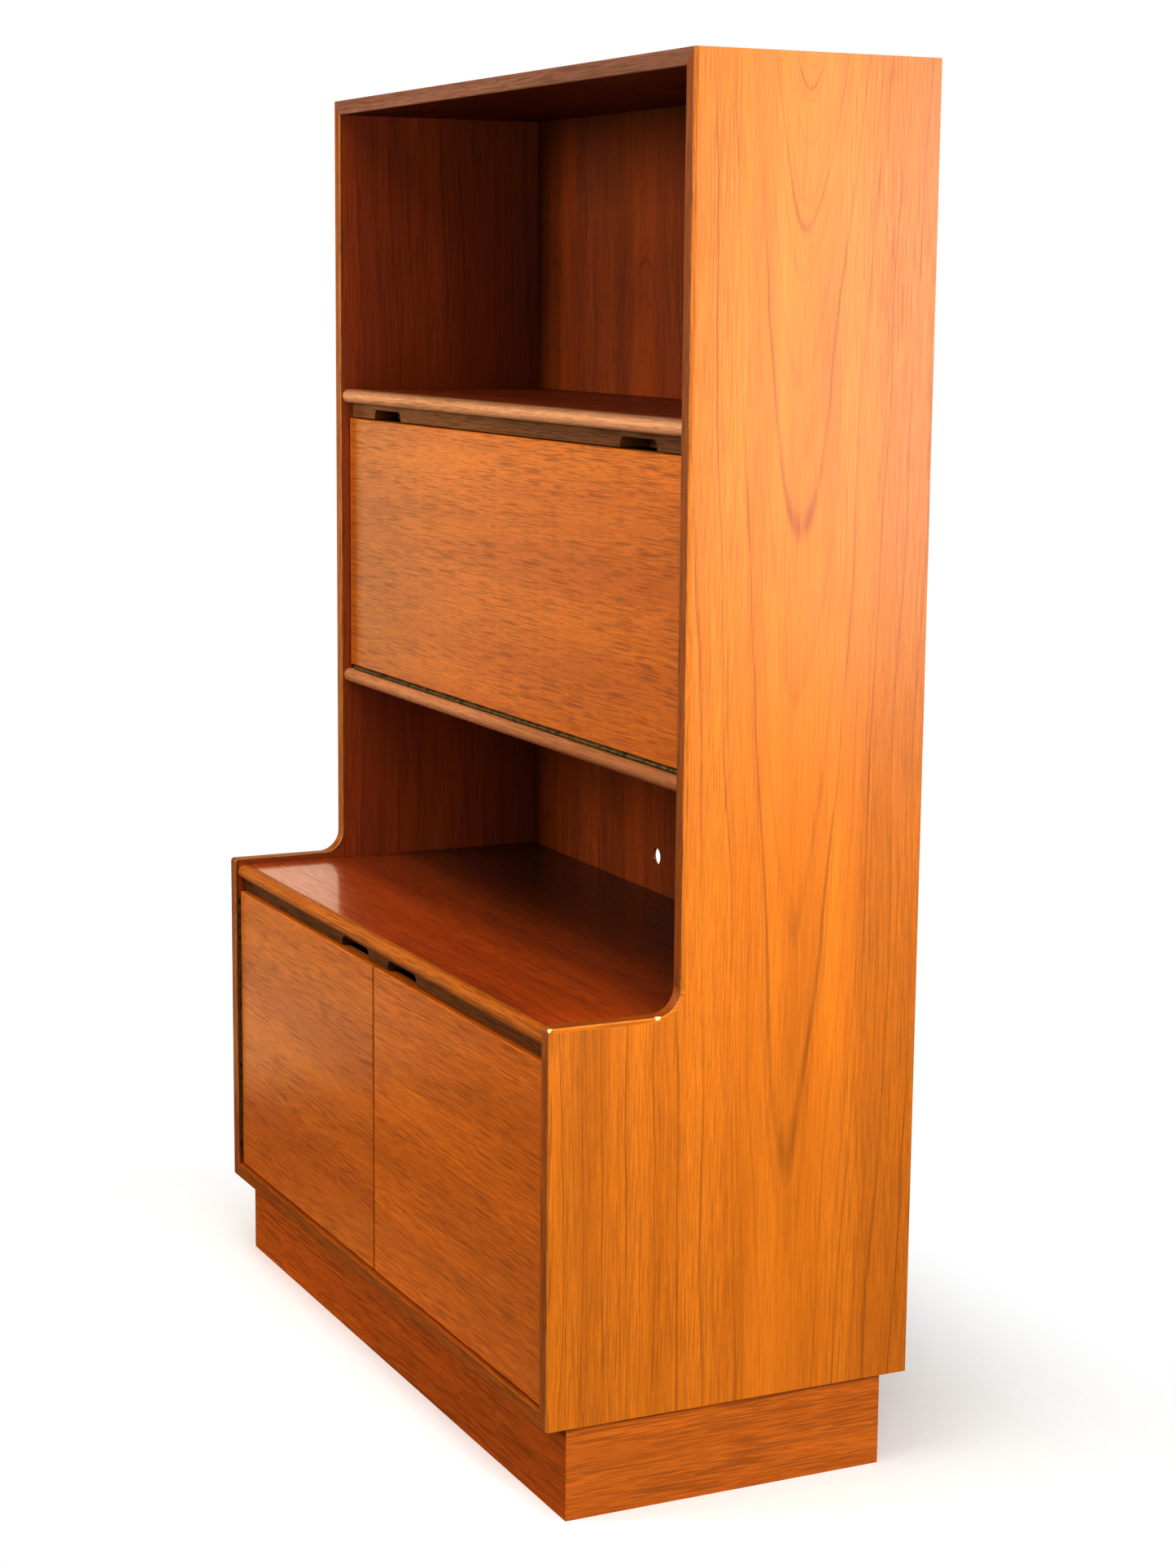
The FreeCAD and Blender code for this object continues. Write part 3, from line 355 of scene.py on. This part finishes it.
def teak(name, grain, face, colours, seed=0.0, centre=0.4, ring=0.013, arches=None, leaf=None,
         lines=0.3, pores=0.5, fine=1.5, mottle=0.5, coat=0.3, haze=0.3, gleam=0.2, arris=None,
         raw=None, inner=None, shade=None, stripe=None, scratch=None, nicks=()):
    """Teak, with its grain along one axis and its broad face square to another.

    arches is (first, growth, start, sign) for a flat-sawn figure, and None for straight grain.
    leaf is the width of the veneer's leaves. arris is the axis across a strip whose long edges are
    pale, partly from wear and partly as a painted highlight. raw is (axis, limit) beyond which the
    board's bare core shows. inner is (axis, limit, colours) for the faces nearer to the middle of
    the desk than the limit. shade is (axis, start, end, factor) for painted shade, which darkens
    the wood by the factor towards the end, on the inner faces only if they have their own colours.
    stripe is (axis, start, end, amount) for a redder leaf. scratch is (x, z, length) of a fine
    mark, and each nick is (place, radius). coat is how strongly the polish shines, and haze how far
    its reflections are blurred."""
    wood = Finish(name)
    place = wood.place()
    coordinates = dict(zip(AXES, wood.split(place)))
    across_axis = [axis for axis in AXES if axis not in (grain, face)][0]
    across = wood.add(coordinates[across_axis], wood.times(coordinates[face], LEAN))
    across = wood.add(across, -centre)
    rings, off_centre = ring_count(wood, place, grain, across, coordinates[grain], ring, leaf, arches, seed)
    late, faint = growth_lines(wood, rings, seed)
    patches = wood.noise(wood.stretched(place, periods(grain, 0.30, 0.018), seed + 11), detail=2)
    line_strength = wood.times(wood.between(patches, 0.2, 0.6), lines)
    bands = wood.noise(wood.stretched(place, periods(grain, 1.3, 0.055), seed), detail=3, roughness=0.55)
    fibre = wood.noise(wood.stretched(place, periods(grain, *FIBRES), seed + 5), detail=3)
    pore = pore_marks(wood, place, grain, seed, fine)
    if arches:
        pore = wood.times(pore, wood.add(wood.times(wood.between(off_centre, 0.03, 0.10), 0.45), 0.55))

    (light, middle, dark), facing_in = tones(wood, coordinates, colours, inner)
    colour = wood.mix(wood.between(bands, 0.32, 0.68), light, middle)
    warmth = wood.noise(wood.stretched(place, periods(grain, 0.9, 0.09), seed + 23), detail=2)
    warm = wood.mix(0.45, middle, dark)
    colour = wood.mix(wood.times(wood.between(warmth, 0.5, 0.72), mottle), colour, warm)
    if stripe:
        axis, start, end, amount = stripe
        colour = wood.mix(wood.times(wood.between(coordinates[axis], start, end), amount), colour, warm)
    colour = wood.mix(wood.times(late, line_strength), colour, dark)
    colour = wood.mix(wood.times(wood.times(faint, line_strength), FAINT_STRENGTH), colour, dark)
    colour = wood.mix(wood.times(pore, pores), colour, dark)
    streak = wood.mix(wood.between(fibre, 0.2, 0.8), [0.91, 0.89, 0.86, 1], [1.07, 1.08, 1.09, 1])
    colour = wood.mix(1.0, colour, streak, "MULTIPLY")
    # Painted shade: a darker copy of the colour, blended in along one axis.
    if shade:
        axis, start, end, factor = shade
        painted_shade_colour = wood.mix(1.0, colour, [factor, factor, factor, 1], "MULTIPLY")
        amount = wood.between(coordinates[axis], start, end)
        colour = wood.mix(wood.times(amount, facing_in) if inner else amount, colour, painted_shade_colour)
    colour = wear_and_arris_highlight(wood, colour, place, coordinates, scratch, arris, nicks)
    if raw:
        axis, limit = raw
        colour = bare_core(wood, colour, wood.between(coordinates[axis], limit, limit + SKIN), place)
    wood.set(Base_Color=colour, Coat_Weight=coat, Coat_Roughness=haze, Specular_IOR_Level=gleam)
    smear = wood.noise(wood.stretched(place, (0.11, 0.11, 0.11), seed + 17), detail=3)
    wood.set(Roughness=wood.add(wood.add(wood.times(smear, 0.14), 0.34), wood.times(pore, 0.15)))
    wood.bump(wood.add(wood.times(fibre, 0.35), wood.times(pore, -0.8)), 0.22, 0.0003)
    return wood.material


def wear_and_arris_highlight(wood, colour, place, coordinates, scratch, arris, nicks):
    """The marks of use over the clean wood, and pale arrises that are partly wear and partly a painted
    highlight.
    """
    if scratch:
        colour = wood.mix(scratch_mark(wood, coordinates, *scratch), colour, linear(SCRATCHED))
    if arris:
        colour = worn_and_highlit_arris(wood, colour, arris, place)
    for nick, radius in nicks:
        colour = wood.mix(nick_mark(wood, place, nick, radius), colour, linear(BARE))
    return colour


def scratch_mark(wood, coordinates, x, z, length):
    """One fine upright scratch on a front, leaning a little to the right."""
    height = wood.add(coordinates["Z"], -z)
    sideways = wood.add(wood.add(coordinates["X"], -x), wood.times(height, -0.3))
    thin = wood.between(wood.math("ABSOLUTE", sideways), 0.0011, 0.0004)
    tapered = wood.between(wood.math("ABSOLUTE", height), length / 2, length / 4)
    return wood.times(wood.times(thin, tapered), 0.7)


def nick_mark(wood, place, centre, radius):
    """Where the finish is knocked off a corner, with a ragged edge."""
    reach = wood.node("VectorMath", {0: place, 1: centre}, operation="DISTANCE").outputs["Value"]
    ragged = wood.noise(wood.stretched(place, (0.004, 0.004, 0.004)), detail=2)
    reach = wood.add(reach, wood.times(wood.add(ragged, -0.5), radius))
    return wood.between(reach, radius, 0.6 * radius)


def worn_and_highlit_arris(wood, colour, axis, place):
    """Paler wood on the rounded arrises: partly where hands and dusters have rubbed the finish, and partly
    a painted highlight where light catches the rounding.
    """
    slant = wood.math("ABSOLUTE", wood.local_normal()[AXES.index(axis)])
    edge = wood.times(wood.between(slant, 0.15, 0.4), wood.between(slant, 0.97, 0.86))
    rub_and_glint = wood.noise(wood.stretched(place, (0.03, 0.03, 0.03), 2.2), detail=4, roughness=0.7)
    amount = wood.times(edge, wood.add(wood.times(wood.between(rub_and_glint, 0.35, 0.62), 0.4), 0.17))
    return wood.mix(amount, colour, linear(WORN_AND_HIGHLIT))


def bare_core(wood, colour, amount, place):
    """The board's blockboard core, bare where no edge strip covers it."""
    chips = wood.node("TexVoronoi", {"Vector": wood.stretched(place, CORE_CHIPS), "Scale": 1.0})
    grey = wood.split(chips.outputs["Color"])[0]
    core = wood.mix(grey, *(linear(text) for text in CORE))
    return wood.mix(amount, colour, core)


# ---------------------------------------------------------------- metal and plastic

def metal(name, colour, patina, roughness, spots=0.012):
    """Metal with a patina in soft spots, and fine marks along X."""
    made = Finish(name)
    place = made.place()
    cloud = made.noise(made.stretched(place, (spots, spots, spots)), detail=4, roughness=0.6)
    marks = made.noise(made.stretched(place, (0.02, 0.0006, 0.0006), 4), detail=2)
    shade = made.mix(made.between(cloud, 0.42, 0.66), linear(colour), linear(patina))
    made.set(Base_Color=shade, Metallic=1.0)
    made.set(Roughness=made.add(made.times(cloud, 0.25), roughness))
    made.bump(marks, 0.10, 0.0001)
    return made.material


def plastic(name, colour, shade):
    """Moulded plastic with a fine matt texture."""
    made = Finish(name)
    place = made.place()
    grain = made.noise(made.stretched(place, (0.0006, 0.0006, 0.0006)), detail=2)
    tint = made.noise(made.stretched(place, (0.02, 0.02, 0.02), 5), detail=2)
    made.set(Base_Color=made.mix(tint, linear(colour), linear(shade)))
    made.set(Roughness=made.add(made.times(grain, 0.15), 0.38))
    made.bump(grain, 0.15, 0.0001)
    return made.material


# ---------------------------------------------------------------- who wears what

def paint(name, material):
    """Give a CAD node its only material."""
    mesh = NODES[name].data
    mesh.materials.clear()
    mesh.materials.append(material)


def paint_sides():
    """The uprights, with the flat-sawn figure on the right one, and the strips along their fronts.

    The strips are dark in front, and as pale as the uprights on their outer faces."""
    inner_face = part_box("side_panel_right")[0].x
    # The uprights' inner faces carry painted shade, darker towards the back.
    look = {"centre": SIDE_HEART, "ring": 0.024, "arches": (0.065, 2.2, 1.55, -1), "lines": 0.66,
            "pores": 0.38, "fine": 2.2, "stripe": ("Y", 0.10, 0.18, 0.5), "raw": ("Y", REAR - REAR_SKIN),
            "inner": ("X", inner_face + SKIN, INNER_VENEER), "shade": ("Y", -0.09, 0.2, 0.68)}
    # The strips' arrises are paler, partly from wear and partly as a painted highlight.
    edge = {"arris": "X", "coat": 0.1, "gleam": 0.1, "nicks": NICKS,
            "inner": ("X", HALF_WIDTH - LIPPING_SKIN, LIPPING)}
    for name, seed in (("left", 21), ("right", 0)):
        paint(f"side_panel_{name}", teak(f"teak_side_{name}", "Z", "X", VENEER, seed, **look))
        for piece, grain, face in (("upper", "Z", "Y"), ("lower", "Z", "Y"), ("step", "Y", "Z")):
            paint(f"{piece}_lipping_{name}", teak(f"teak_{piece}_lipping_{name}", grain, face, VENEER,
                                                  seed + 2, **edge))


def paint_boards():
    """The straight-grained boards: their grain, face, colours, and how they shine."""
    matt = {"coat": 0.05, "gleam": 0.05}
    front = {"coat": 0.45, "gleam": 0.06, "lines": 0.12, "pores": 0.55, "fine": 2.0, "mottle": 0.15}
    under_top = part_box("top_panel")[0].z + SKIN
    nosing_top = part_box("upper_shelf_nosing")[1].z
    boards = {
        # The top's underside and the upper shelf wear the darkest veneer as painted shade.
        "top_panel": ("X", "Z", VENEER, {**matt, "inner": ("Z", under_top, PAINTED_SHADE_VENEER)}),
        "bottom_panel": ("X", "Z", INNER_VENEER, {}),
        "upper_shelf": ("X", "Z", PAINTED_SHADE_VENEER, {"coat": 0.08, "gleam": 0.1}),
        "desk_shelf": ("X", "Z", INNER_VENEER, {}),
        # The cabinet top carries painted shade, darker towards the back of the recess.
        "cabinet_top": ("X", "Z", INNER_VENEER, {"coat": 0.6, "haze": 0.13,
                                                 "shade": ("Y", -0.17, 0.13, 0.1)}),
        "cabinet_shelf": ("X", "Z", INNER_VENEER, {}),
        "letter_shelf": ("X", "Z", INNER_VENEER, {}),
        "top_lipping": ("X", "Y", TOP_LIPPING, matt),
        "bottom_lipping": ("X", "Y", LIPPING, matt),
        # The upper shelf's nosing is painted paler as painted light, and darker along its top as painted
        # shade.
        "upper_shelf_nosing": ("X", "Y", PAINTED_LIGHT_NOSING,
                               {**matt, "shade": ("Z", nosing_top - 0.0075, nosing_top, 0.45)}),
        "desk_shelf_nosing": ("X", "Y", NOSING, matt),
        "cabinet_top_nosing": ("X", "Y", DEEP_NOSING, matt),
        "flap_rail": ("X", "Y", RAIL, matt),
        # The rail over the doors is darker as painted shade.
        "door_rail": ("X", "Y", PAINTED_SHADE_RAIL, matt),
        # The flap carries painted shade, darker towards its left end.
        "flap": ("X", "Y", FRONT_VENEER, {**front, "shade": ("X", -0.1, -0.48, 0.78)}),
        "door_left": ("X", "Y", FRONT_VENEER, {**front, "scratch": (-0.385, 0.452, 0.014)}),
        "door_right": ("X", "Y", DOOR_VENEER, front),
        "plinth_front": ("X", "Y", PLINTH_FRONT, matt),
        "plinth_back": ("X", "Y", PLINTH, {}),
        "plinth_side_left": ("Y", "X", PLINTH, {}),
        "plinth_side_right": ("Y", "X", PLINTH, {}),
        "plinth_corner_blocks": ("Z", "X", RAIL, matt),
    }
    for seed, (name, (grain, face, colours, look)) in enumerate(boards.items(), start=31):
        paint(name, teak(f"teak_{name}", grain, face, colours, seed, **look))
    paint("back_panel", teak("teak_back_panel", "Z", "Y", PLYWOOD, 55, centre=BACK_HEART, leaf=0.267,
                             ring=0.012, arches=(0.08, 1.08, 0.0, 1), lines=0.4, coat=0.05, gleam=0.1,
                             inner=("Y", REAR - OUTER_PLY, BACK_VENEER)))


def paint_fittings(brass, steel):
    """The CAD fittings that no detailed piece replaces."""
    for name in NODES:
        if "hinge_leaf" in name or name.endswith("_pin") or name == "shelf_pegs":
            paint(name, brass)
        elif name.startswith("stay_") or "strike" in name:
            paint(name, steel)


# ---------------------------------------------------------------- pieces built round the frame

def finished(name, shape, materials, body, slot, *replaced):
    """Turn a bmesh into a smooth-shaded piece that rides on a body and stands for CAD nodes."""
    bmesh.ops.recalc_face_normals(shape, faces=shape.faces)
    mesh = bpy.data.meshes.new(name)
    shape.to_mesh(mesh)
    shape.free()
    for material in materials:
        mesh.materials.append(material)
    mesh.shade_smooth()
    mesh.set_sharp_from_angle(angle=math.radians(SHARP_ANGLE))
    piece = bpy.data.objects.new(name, mesh)
    bpy.context.scene.collection.objects.link(piece)
    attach(piece, body)
    if replaced:
        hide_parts(*replaced)
    return piece


def turned(shape, place, direction, rings, start_angle):
    """A closed solid round an axis, from rings of (depth along the axis, radius).

    A radius is a number, or a function of the angle."""
    turn = Vector(direction).to_track_quat("Z", "Y").to_matrix()
    loops = []
    for depth, radius in rings:
        loop = []
        for step in range(SCREW_SIDES):
            angle = 2 * math.pi * step / SCREW_SIDES
            size = radius(angle) if callable(radius) else radius
            around = angle + start_angle
            flat = Vector((size * math.cos(around), size * math.sin(around), depth))
            loop.append(shape.verts.new(Vector(place) + turn @ flat))
        loops.append(loop)
    for first, second in zip(loops, loops[1:]):
        for index in range(SCREW_SIDES):
            following = (index + 1) % SCREW_SIDES
            shape.faces.new((first[index], first[following], second[following], second[index]))
    shape.faces.new(loops[0][::-1])
    shape.faces.new(loops[-1])


def slot_outline(head):
    """The outline of a straight screwdriver slot across a head, as a radius for each angle."""
    def radius(angle):
        across = SLOT_HALF_WIDTH * head / max(abs(math.sin(angle)), 0.01)
        return min(across, SLOT_HALF_LENGTH * head)
    return radius


def countersunk_screw(shape, place, direction, head, shank, length, start_angle):
    """A slotted screw, its head flush at the place, with thread ridges down to a blunt point."""
    slot = slot_outline(head)
    sunk = head - shank
    rings = [(SLOT_DEPTH * head, slot), (SLOT_EDGE, slot), (0.0, HEAD_FLAT * head),
             (HEAD_EDGE, head), (sunk, shank)]
    depth = sunk + THREAD_START
    while depth < length - 2 * THREAD_PITCH:
        rings.append((depth, THREAD_ROOT * shank))
        rings.append((depth + THREAD_PITCH / 2, THREAD_CREST * shank))
        depth += THREAD_PITCH
    rings.append((length - THREAD_PITCH, POINT_NECK * shank))
    rings.append((length, POINT_TIP * shank))
    turned(shape, place, direction, rings, start_angle)


def islands(mesh):
    """The separate solids of a mesh, each as a list of points."""
    shape = bmesh.new()
    shape.from_mesh(mesh)
    bmesh.ops.remove_doubles(shape, verts=shape.verts, dist=SAME_POINT)
    left = set(shape.verts)
    found = []
    while left:
        stack = [left.pop()]
        group = []
        while stack:
            vertex = stack.pop()
            group.append(vertex.co.copy())
            near = {edge.other_vert(vertex) for edge in vertex.link_edges} & left
            left -= near
            stack.extend(near)
        found.append(group)
    shape.free()
    return sorted(found, key=lambda group: tuple(round(c, 4) for c in sum(group, Vector()) / len(group)))


def corners(points):
    """The lowest and highest corner of the box round some points."""
    return [Vector([pick(p[i] for p in points) for i in range(3)]) for pick in (min, max)]


def read_screw(points):
    """A CAD screw's head centre, direction, head radius, shank radius and length."""
    low, high = corners(points)
    spans = high - low
    axis = max(range(3), key=lambda i: spans[i])
    middle = (low + high) / 2

    def radius_at(level):
        at_level = [p - middle for p in points if abs(p[axis] - level) < SAME_POINT]
        return max(math.hypot(*(p[i] for i in range(3) if i != axis)) for p in at_level)

    ends = (low[axis], high[axis])
    head_end = 0 if radius_at(ends[0]) > radius_at(ends[1]) else 1
    place = middle.copy()
    place[axis] = ends[head_end]
    direction = Vector((0, 0, 0))
    direction[axis] = 1 if head_end == 0 else -1
    return place, direction, radius_at(ends[head_end]), radius_at(ends[1 - head_end]), spans[axis]


def screws(brass, steel):
    """Detailed screws in the place of each plain CAD one, every slot turned its own way."""
    for name in sorted(NODES):
        if "screws" not in name:
            continue
        shape = bmesh.new()
        for index, points in enumerate(islands(NODES[name].data)):
            countersunk_screw(shape, *read_screw(points), start_angle=SLOT_TURN * index)
        is_steel = name == "back_panel_screws"
        finished(f"{name}_slotted", shape, [steel if is_steel else brass], BODY_OF[name],
                 "screw_steel" if is_steel else "screw_brass", name)


def rounded_block(shape, low, high, radius, material=0):
    """A box with rounded edges, whose faces all have one of the piece's materials."""
    made = bmesh.ops.create_cube(shape, size=1.0)["verts"]
    middle = (Vector(low) + Vector(high)) / 2
    size = Vector(high) - Vector(low)
    for vertex in made:
        vertex.co = middle + Vector([vertex.co[i] * size[i] for i in range(3)])
    edges = {edge for vertex in made for edge in vertex.link_edges}
    bevelled = bmesh.ops.bevel(shape, geom=list(edges), offset=radius, segments=2, affect="EDGES",
                               profile=0.5, clamp_overlap=True)
    for face in bevelled["faces"]:
        face.material_index = material
    for face in {face for vertex in bevelled["verts"] for face in vertex.link_faces}:
        face.material_index = material


def magnetic_catches(plastic_finish, steel):
    """Catch bodies with screw ears, ribs and two steel pole plates round the magnet."""
    for name in ("flap_catches", "door_catches"):
        shape = bmesh.new()
        for points in islands(NODES[name].data):
            catch(shape, *corners(points))
        finished(f"{name}_magnetic", shape, [plastic_finish, steel], BODY_OF[name], "catch_plastic", name)


def catch(shape, low, high):
    """One catch in the box that the CAD keeps for it, its poles towards the front."""
    front = low.y + POLE_PROUD
    left = low.x + EAR_LENGTH
    right = high.x - EAR_LENGTH
    ear_under = high.z - EAR_THICKNESS
    rounded_block(shape, (left, front, low.z + RIB_PROUD), (right, high.y, high.z), HOUSING_ROUND)
    rounded_block(shape, (low.x, front + EAR_SETBACK, ear_under),
                  (high.x, high.y - EAR_SETBACK, high.z), EAR_ROUND)
    for index in range(RIB_COUNT):
        rib = (low.x + high.x) / 2 + (index - (RIB_COUNT - 1) / 2) * RIB_PITCH
        rounded_block(shape, (rib - RIB_WIDTH / 2, front + RIB_FRONT_SETBACK, low.z),
                      (rib + RIB_WIDTH / 2, high.y - RIB_REAR_SETBACK, low.z + RIB_HEIGHT), RIB_ROUND)
    for level in (low.z + POLE_INSET, high.z - POLE_INSET - POLE_THICKNESS):
        rounded_block(shape, (left + POLE_INSET, low.y, level),
                      (right - POLE_INSET, front + POLE_DEPTH, level + POLE_THICKNESS), POLE_ROUND, 1)
    for turn, ear_x in enumerate((low.x + EAR_LENGTH / 2, high.x - EAR_LENGTH / 2)):
        place = (ear_x, (low.y + high.y) / 2, ear_under - PAN_HEAD_PROUD)
        pan_head(shape, place, (0, 0, 1), 0.9 + 1.3 * turn, 1)


def pan_head(shape, place, direction, angle, material=0):
    """A low domed screw head with a slot. Its top is at the place, and the direction leads into it."""
    before = set(shape.faces)
    slot = slot_outline(PAN_HEAD_RADIUS)
    rings = [(0.45, slot), (0.05, slot), (0.0, 0.7 * PAN_HEAD_RADIUS), (0.15, 0.92 * PAN_HEAD_RADIUS),
             (0.5, PAN_HEAD_RADIUS), (1.0, PAN_HEAD_RADIUS)]
    turned(shape, place, direction, [(depth * PAN_HEAD_HEIGHT, radius) for depth, radius in rings], angle)
    for face in set(shape.faces) - before:
        face.material_index = material


def stay_screws(steel):
    """Two small screws in each stay plate: on the flap's brackets and on the uprights."""
    for side, sign in (("left", -1), ("right", 1)):
        low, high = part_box(f"stay_{side}_bracket")
        inner_x = low.x if sign > 0 else high.x
        top_y = low.y + STAY_PLATE_THICKNESS + PAN_HEAD_PROUD
        places = [(inner_x + sign * BRACKET_SCREW_INSET, top_y, (low.z + high.z) / 2 + lift)
                  for lift in (-BRACKET_SCREW_SPREAD, BRACKET_SCREW_SPREAD)]
        stay_plate_screws(f"stay_{side}_bracket_screws", places, (0, -1, 0), steel, "flap")
        low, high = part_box(f"stay_{side}_side_plate")
        wall_x = high.x if sign > 0 else low.x
        top_x = wall_x - sign * (STAY_PLATE_THICKNESS + PAN_HEAD_PROUD)
        places = [(top_x, (low.y + high.y) / 2, (low.z + high.z) / 2 + lift)
                  for lift in (-SIDE_PLATE_SCREW_SPREAD, SIDE_PLATE_SCREW_SPREAD)]
        stay_plate_screws(f"stay_{side}_side_plate_screws", places, (sign, 0, 0), steel, "carcass")


def stay_plate_screws(name, places, direction, steel, body):
    """The screw heads of one plate, as one piece."""
    shape = bmesh.new()
    for turn, place in enumerate(places):
        pan_head(shape, place, direction, 1.4 - 2.1 * turn)
    finished(name, shape, [steel], body, "stay_steel")


# ---------------------------------------------------------------- stage, light and camera

def floor():
    """A pale floor that fades into the white background a little way from the desk."""
    mesh = bpy.data.meshes.new("floor")
    shape = bmesh.new()
    bmesh.ops.create_circle(shape, cap_ends=True, segments=96, radius=FLOOR_RADIUS)
    shape.to_mesh(mesh)
    shape.free()
    piece = bpy.data.objects.new("floor", mesh)
    bpy.context.scene.collection.objects.link(piece)
    made = Finish("pale_floor")
    place = made.place()
    half_size = (HALF_WIDTH, REAR, 0.0)
    folded = made.node("VectorMath", {0: place}, operation="ABSOLUTE").outputs["Vector"]
    beyond = made.node("VectorMath", {0: folded, 1: half_size}, operation="SUBTRACT").outputs["Vector"]
    outside = made.node("VectorMath", {0: beyond, 1: (0, 0, 0)}, operation="MAXIMUM").outputs["Vector"]
    distance = made.node("VectorMath", {0: outside}, operation="LENGTH").outputs["Value"]
    speckle = made.noise(made.stretched(place, (0.01, 0.01, 0.01)), detail=3)
    pale = made.mix(speckle, linear("F4F3F1"), linear("F0EFEC"))
    seen = made.node("LightPath").outputs["Is Camera Ray"]
    made.set(Base_Color=made.mix(seen, linear("9C8660"), pale), Roughness=0.75)
    made.set(Alpha=made.between(distance, FLOOR_GONE, FLOOR_WHOLE))
    mesh.materials.append(made.material)


def soft_light(name, place, target, size, power, colour="FFFFFF"):
    """A rectangular light in watts that points at the target and isn't seen itself."""
    light = bpy.data.lights.new(name, "AREA")
    light.shape = "RECTANGLE"
    light.size, light.size_y = size
    light.energy = power
    light.color = linear(colour)[:3]
    lamp = bpy.data.objects.new(name, light)
    lamp.location = place
    lamp.visible_camera = False
    lamp.rotation_euler = (Vector(target) - Vector(place)).to_track_quat("-Z", "Y").to_euler()
    bpy.context.scene.collection.objects.link(lamp)


def world():
    """White as a background, and a dimmer, even light on the desk."""
    made = bpy.data.worlds.new("studio")
    bpy.context.scene.world = made
    made.use_nodes = True
    tree = made.node_tree
    background = tree.nodes["Background"]
    path = tree.nodes.new("ShaderNodeLightPath")
    level = tree.nodes.new("ShaderNodeMapRange")
    level.inputs["To Min"].default_value = WORLD_ON_DESK
    level.inputs["To Max"].default_value = 1.0
    tree.links.new(path.outputs["Is Camera Ray"], level.inputs["Value"])
    tree.links.new(level.outputs["Result"], background.inputs["Strength"])
    background.inputs["Color"].default_value = (1, 1, 1, 1)


def lights():
    """Daylight from the right rear and the left, and a large lamp in front and one above."""
    soft_light("right_softbox", (1.85, -0.38, 1.06), (0.5, -0.26, 0.96), (0.9, 0.9), 19.5)
    soft_light("rear_window", (1.67, 1.14, 1.25), (0.5, 0.05, 1.15), (1.0, 1.15), 22)
    soft_light("rear_strip", (1.60, 1.21, 1.25), (0.5, 0.05, 1.15), (0.7, 1.15), 16)
    soft_light("front_softbox", (-1.25, -3.1, 2.0), (0, 0, 0.75), (1.5, 1.5), 132)
    soft_light("fill", (2.6, -2.8, 1.5), (0, 0, 0.8), (1.2, 1.2), 8)
    soft_light("left_window", (-4.2, -1.4, 0.75), (-0.2, -0.1, 0.9), (1.0, 1.2), 12.5, "FFE8B4")
    soft_light("left_floor", (-2.05, -0.59, 0.02), (-2.05, -0.59, 1.0), (1.7, 0.48), 5, "FFE6B4")
    soft_light("left_wall", (-3.4, 0.9, 1.2), (-0.4, -0.1, 0.55), (1.6, 1.4), 11.5, "FFE6CA")
    soft_light("overhead", (0.3, -1.0, 3.4), (0.1, -0.2, 0), (2.4, 2.4), 75)


def camera():
    """The photograph's viewpoint: to the right of the desk, near eye height, turned to its front."""
    data = bpy.data.cameras.new("camera")
    data.sensor_fit = "AUTO"
    data.sensor_width = 36
    data.lens = 66.65
    piece = bpy.data.objects.new("camera", data)
    yaw, pitch, roll = math.radians(64.26), math.radians(9.56), math.radians(0.53)
    piece.location = (3.1154, -1.4379, 1.2808)
    turn = Matrix.Rotation(yaw, 3, "Z") @ Matrix.Rotation(math.pi / 2 - pitch, 3, "X")
    turn = turn @ Matrix.Rotation(roll, 3, "Z")
    piece.rotation_euler = turn.to_euler()
    bpy.context.scene.collection.objects.link(piece)
    bpy.context.scene.camera = piece


paint_sides()
paint_boards()
brass = metal("aged_brass", "70592F", "2C2117", 0.38)
steel = metal("zinc_steel", "B8BABC", "8C8E90", 0.30)
paint_fittings(brass, steel)
screws(brass, metal("screw_steel", "A8A8A4", "6E6A62", 0.34, spots=0.004))
magnetic_catches(plastic("brown_plastic", "4A3020", "38220F"), steel)
stay_screws(steel)
floor()
world()
lights()
camera()
bpy.context.scene.view_settings.view_transform = "Standard"
bpy.context.scene.view_settings.gamma = 0.85
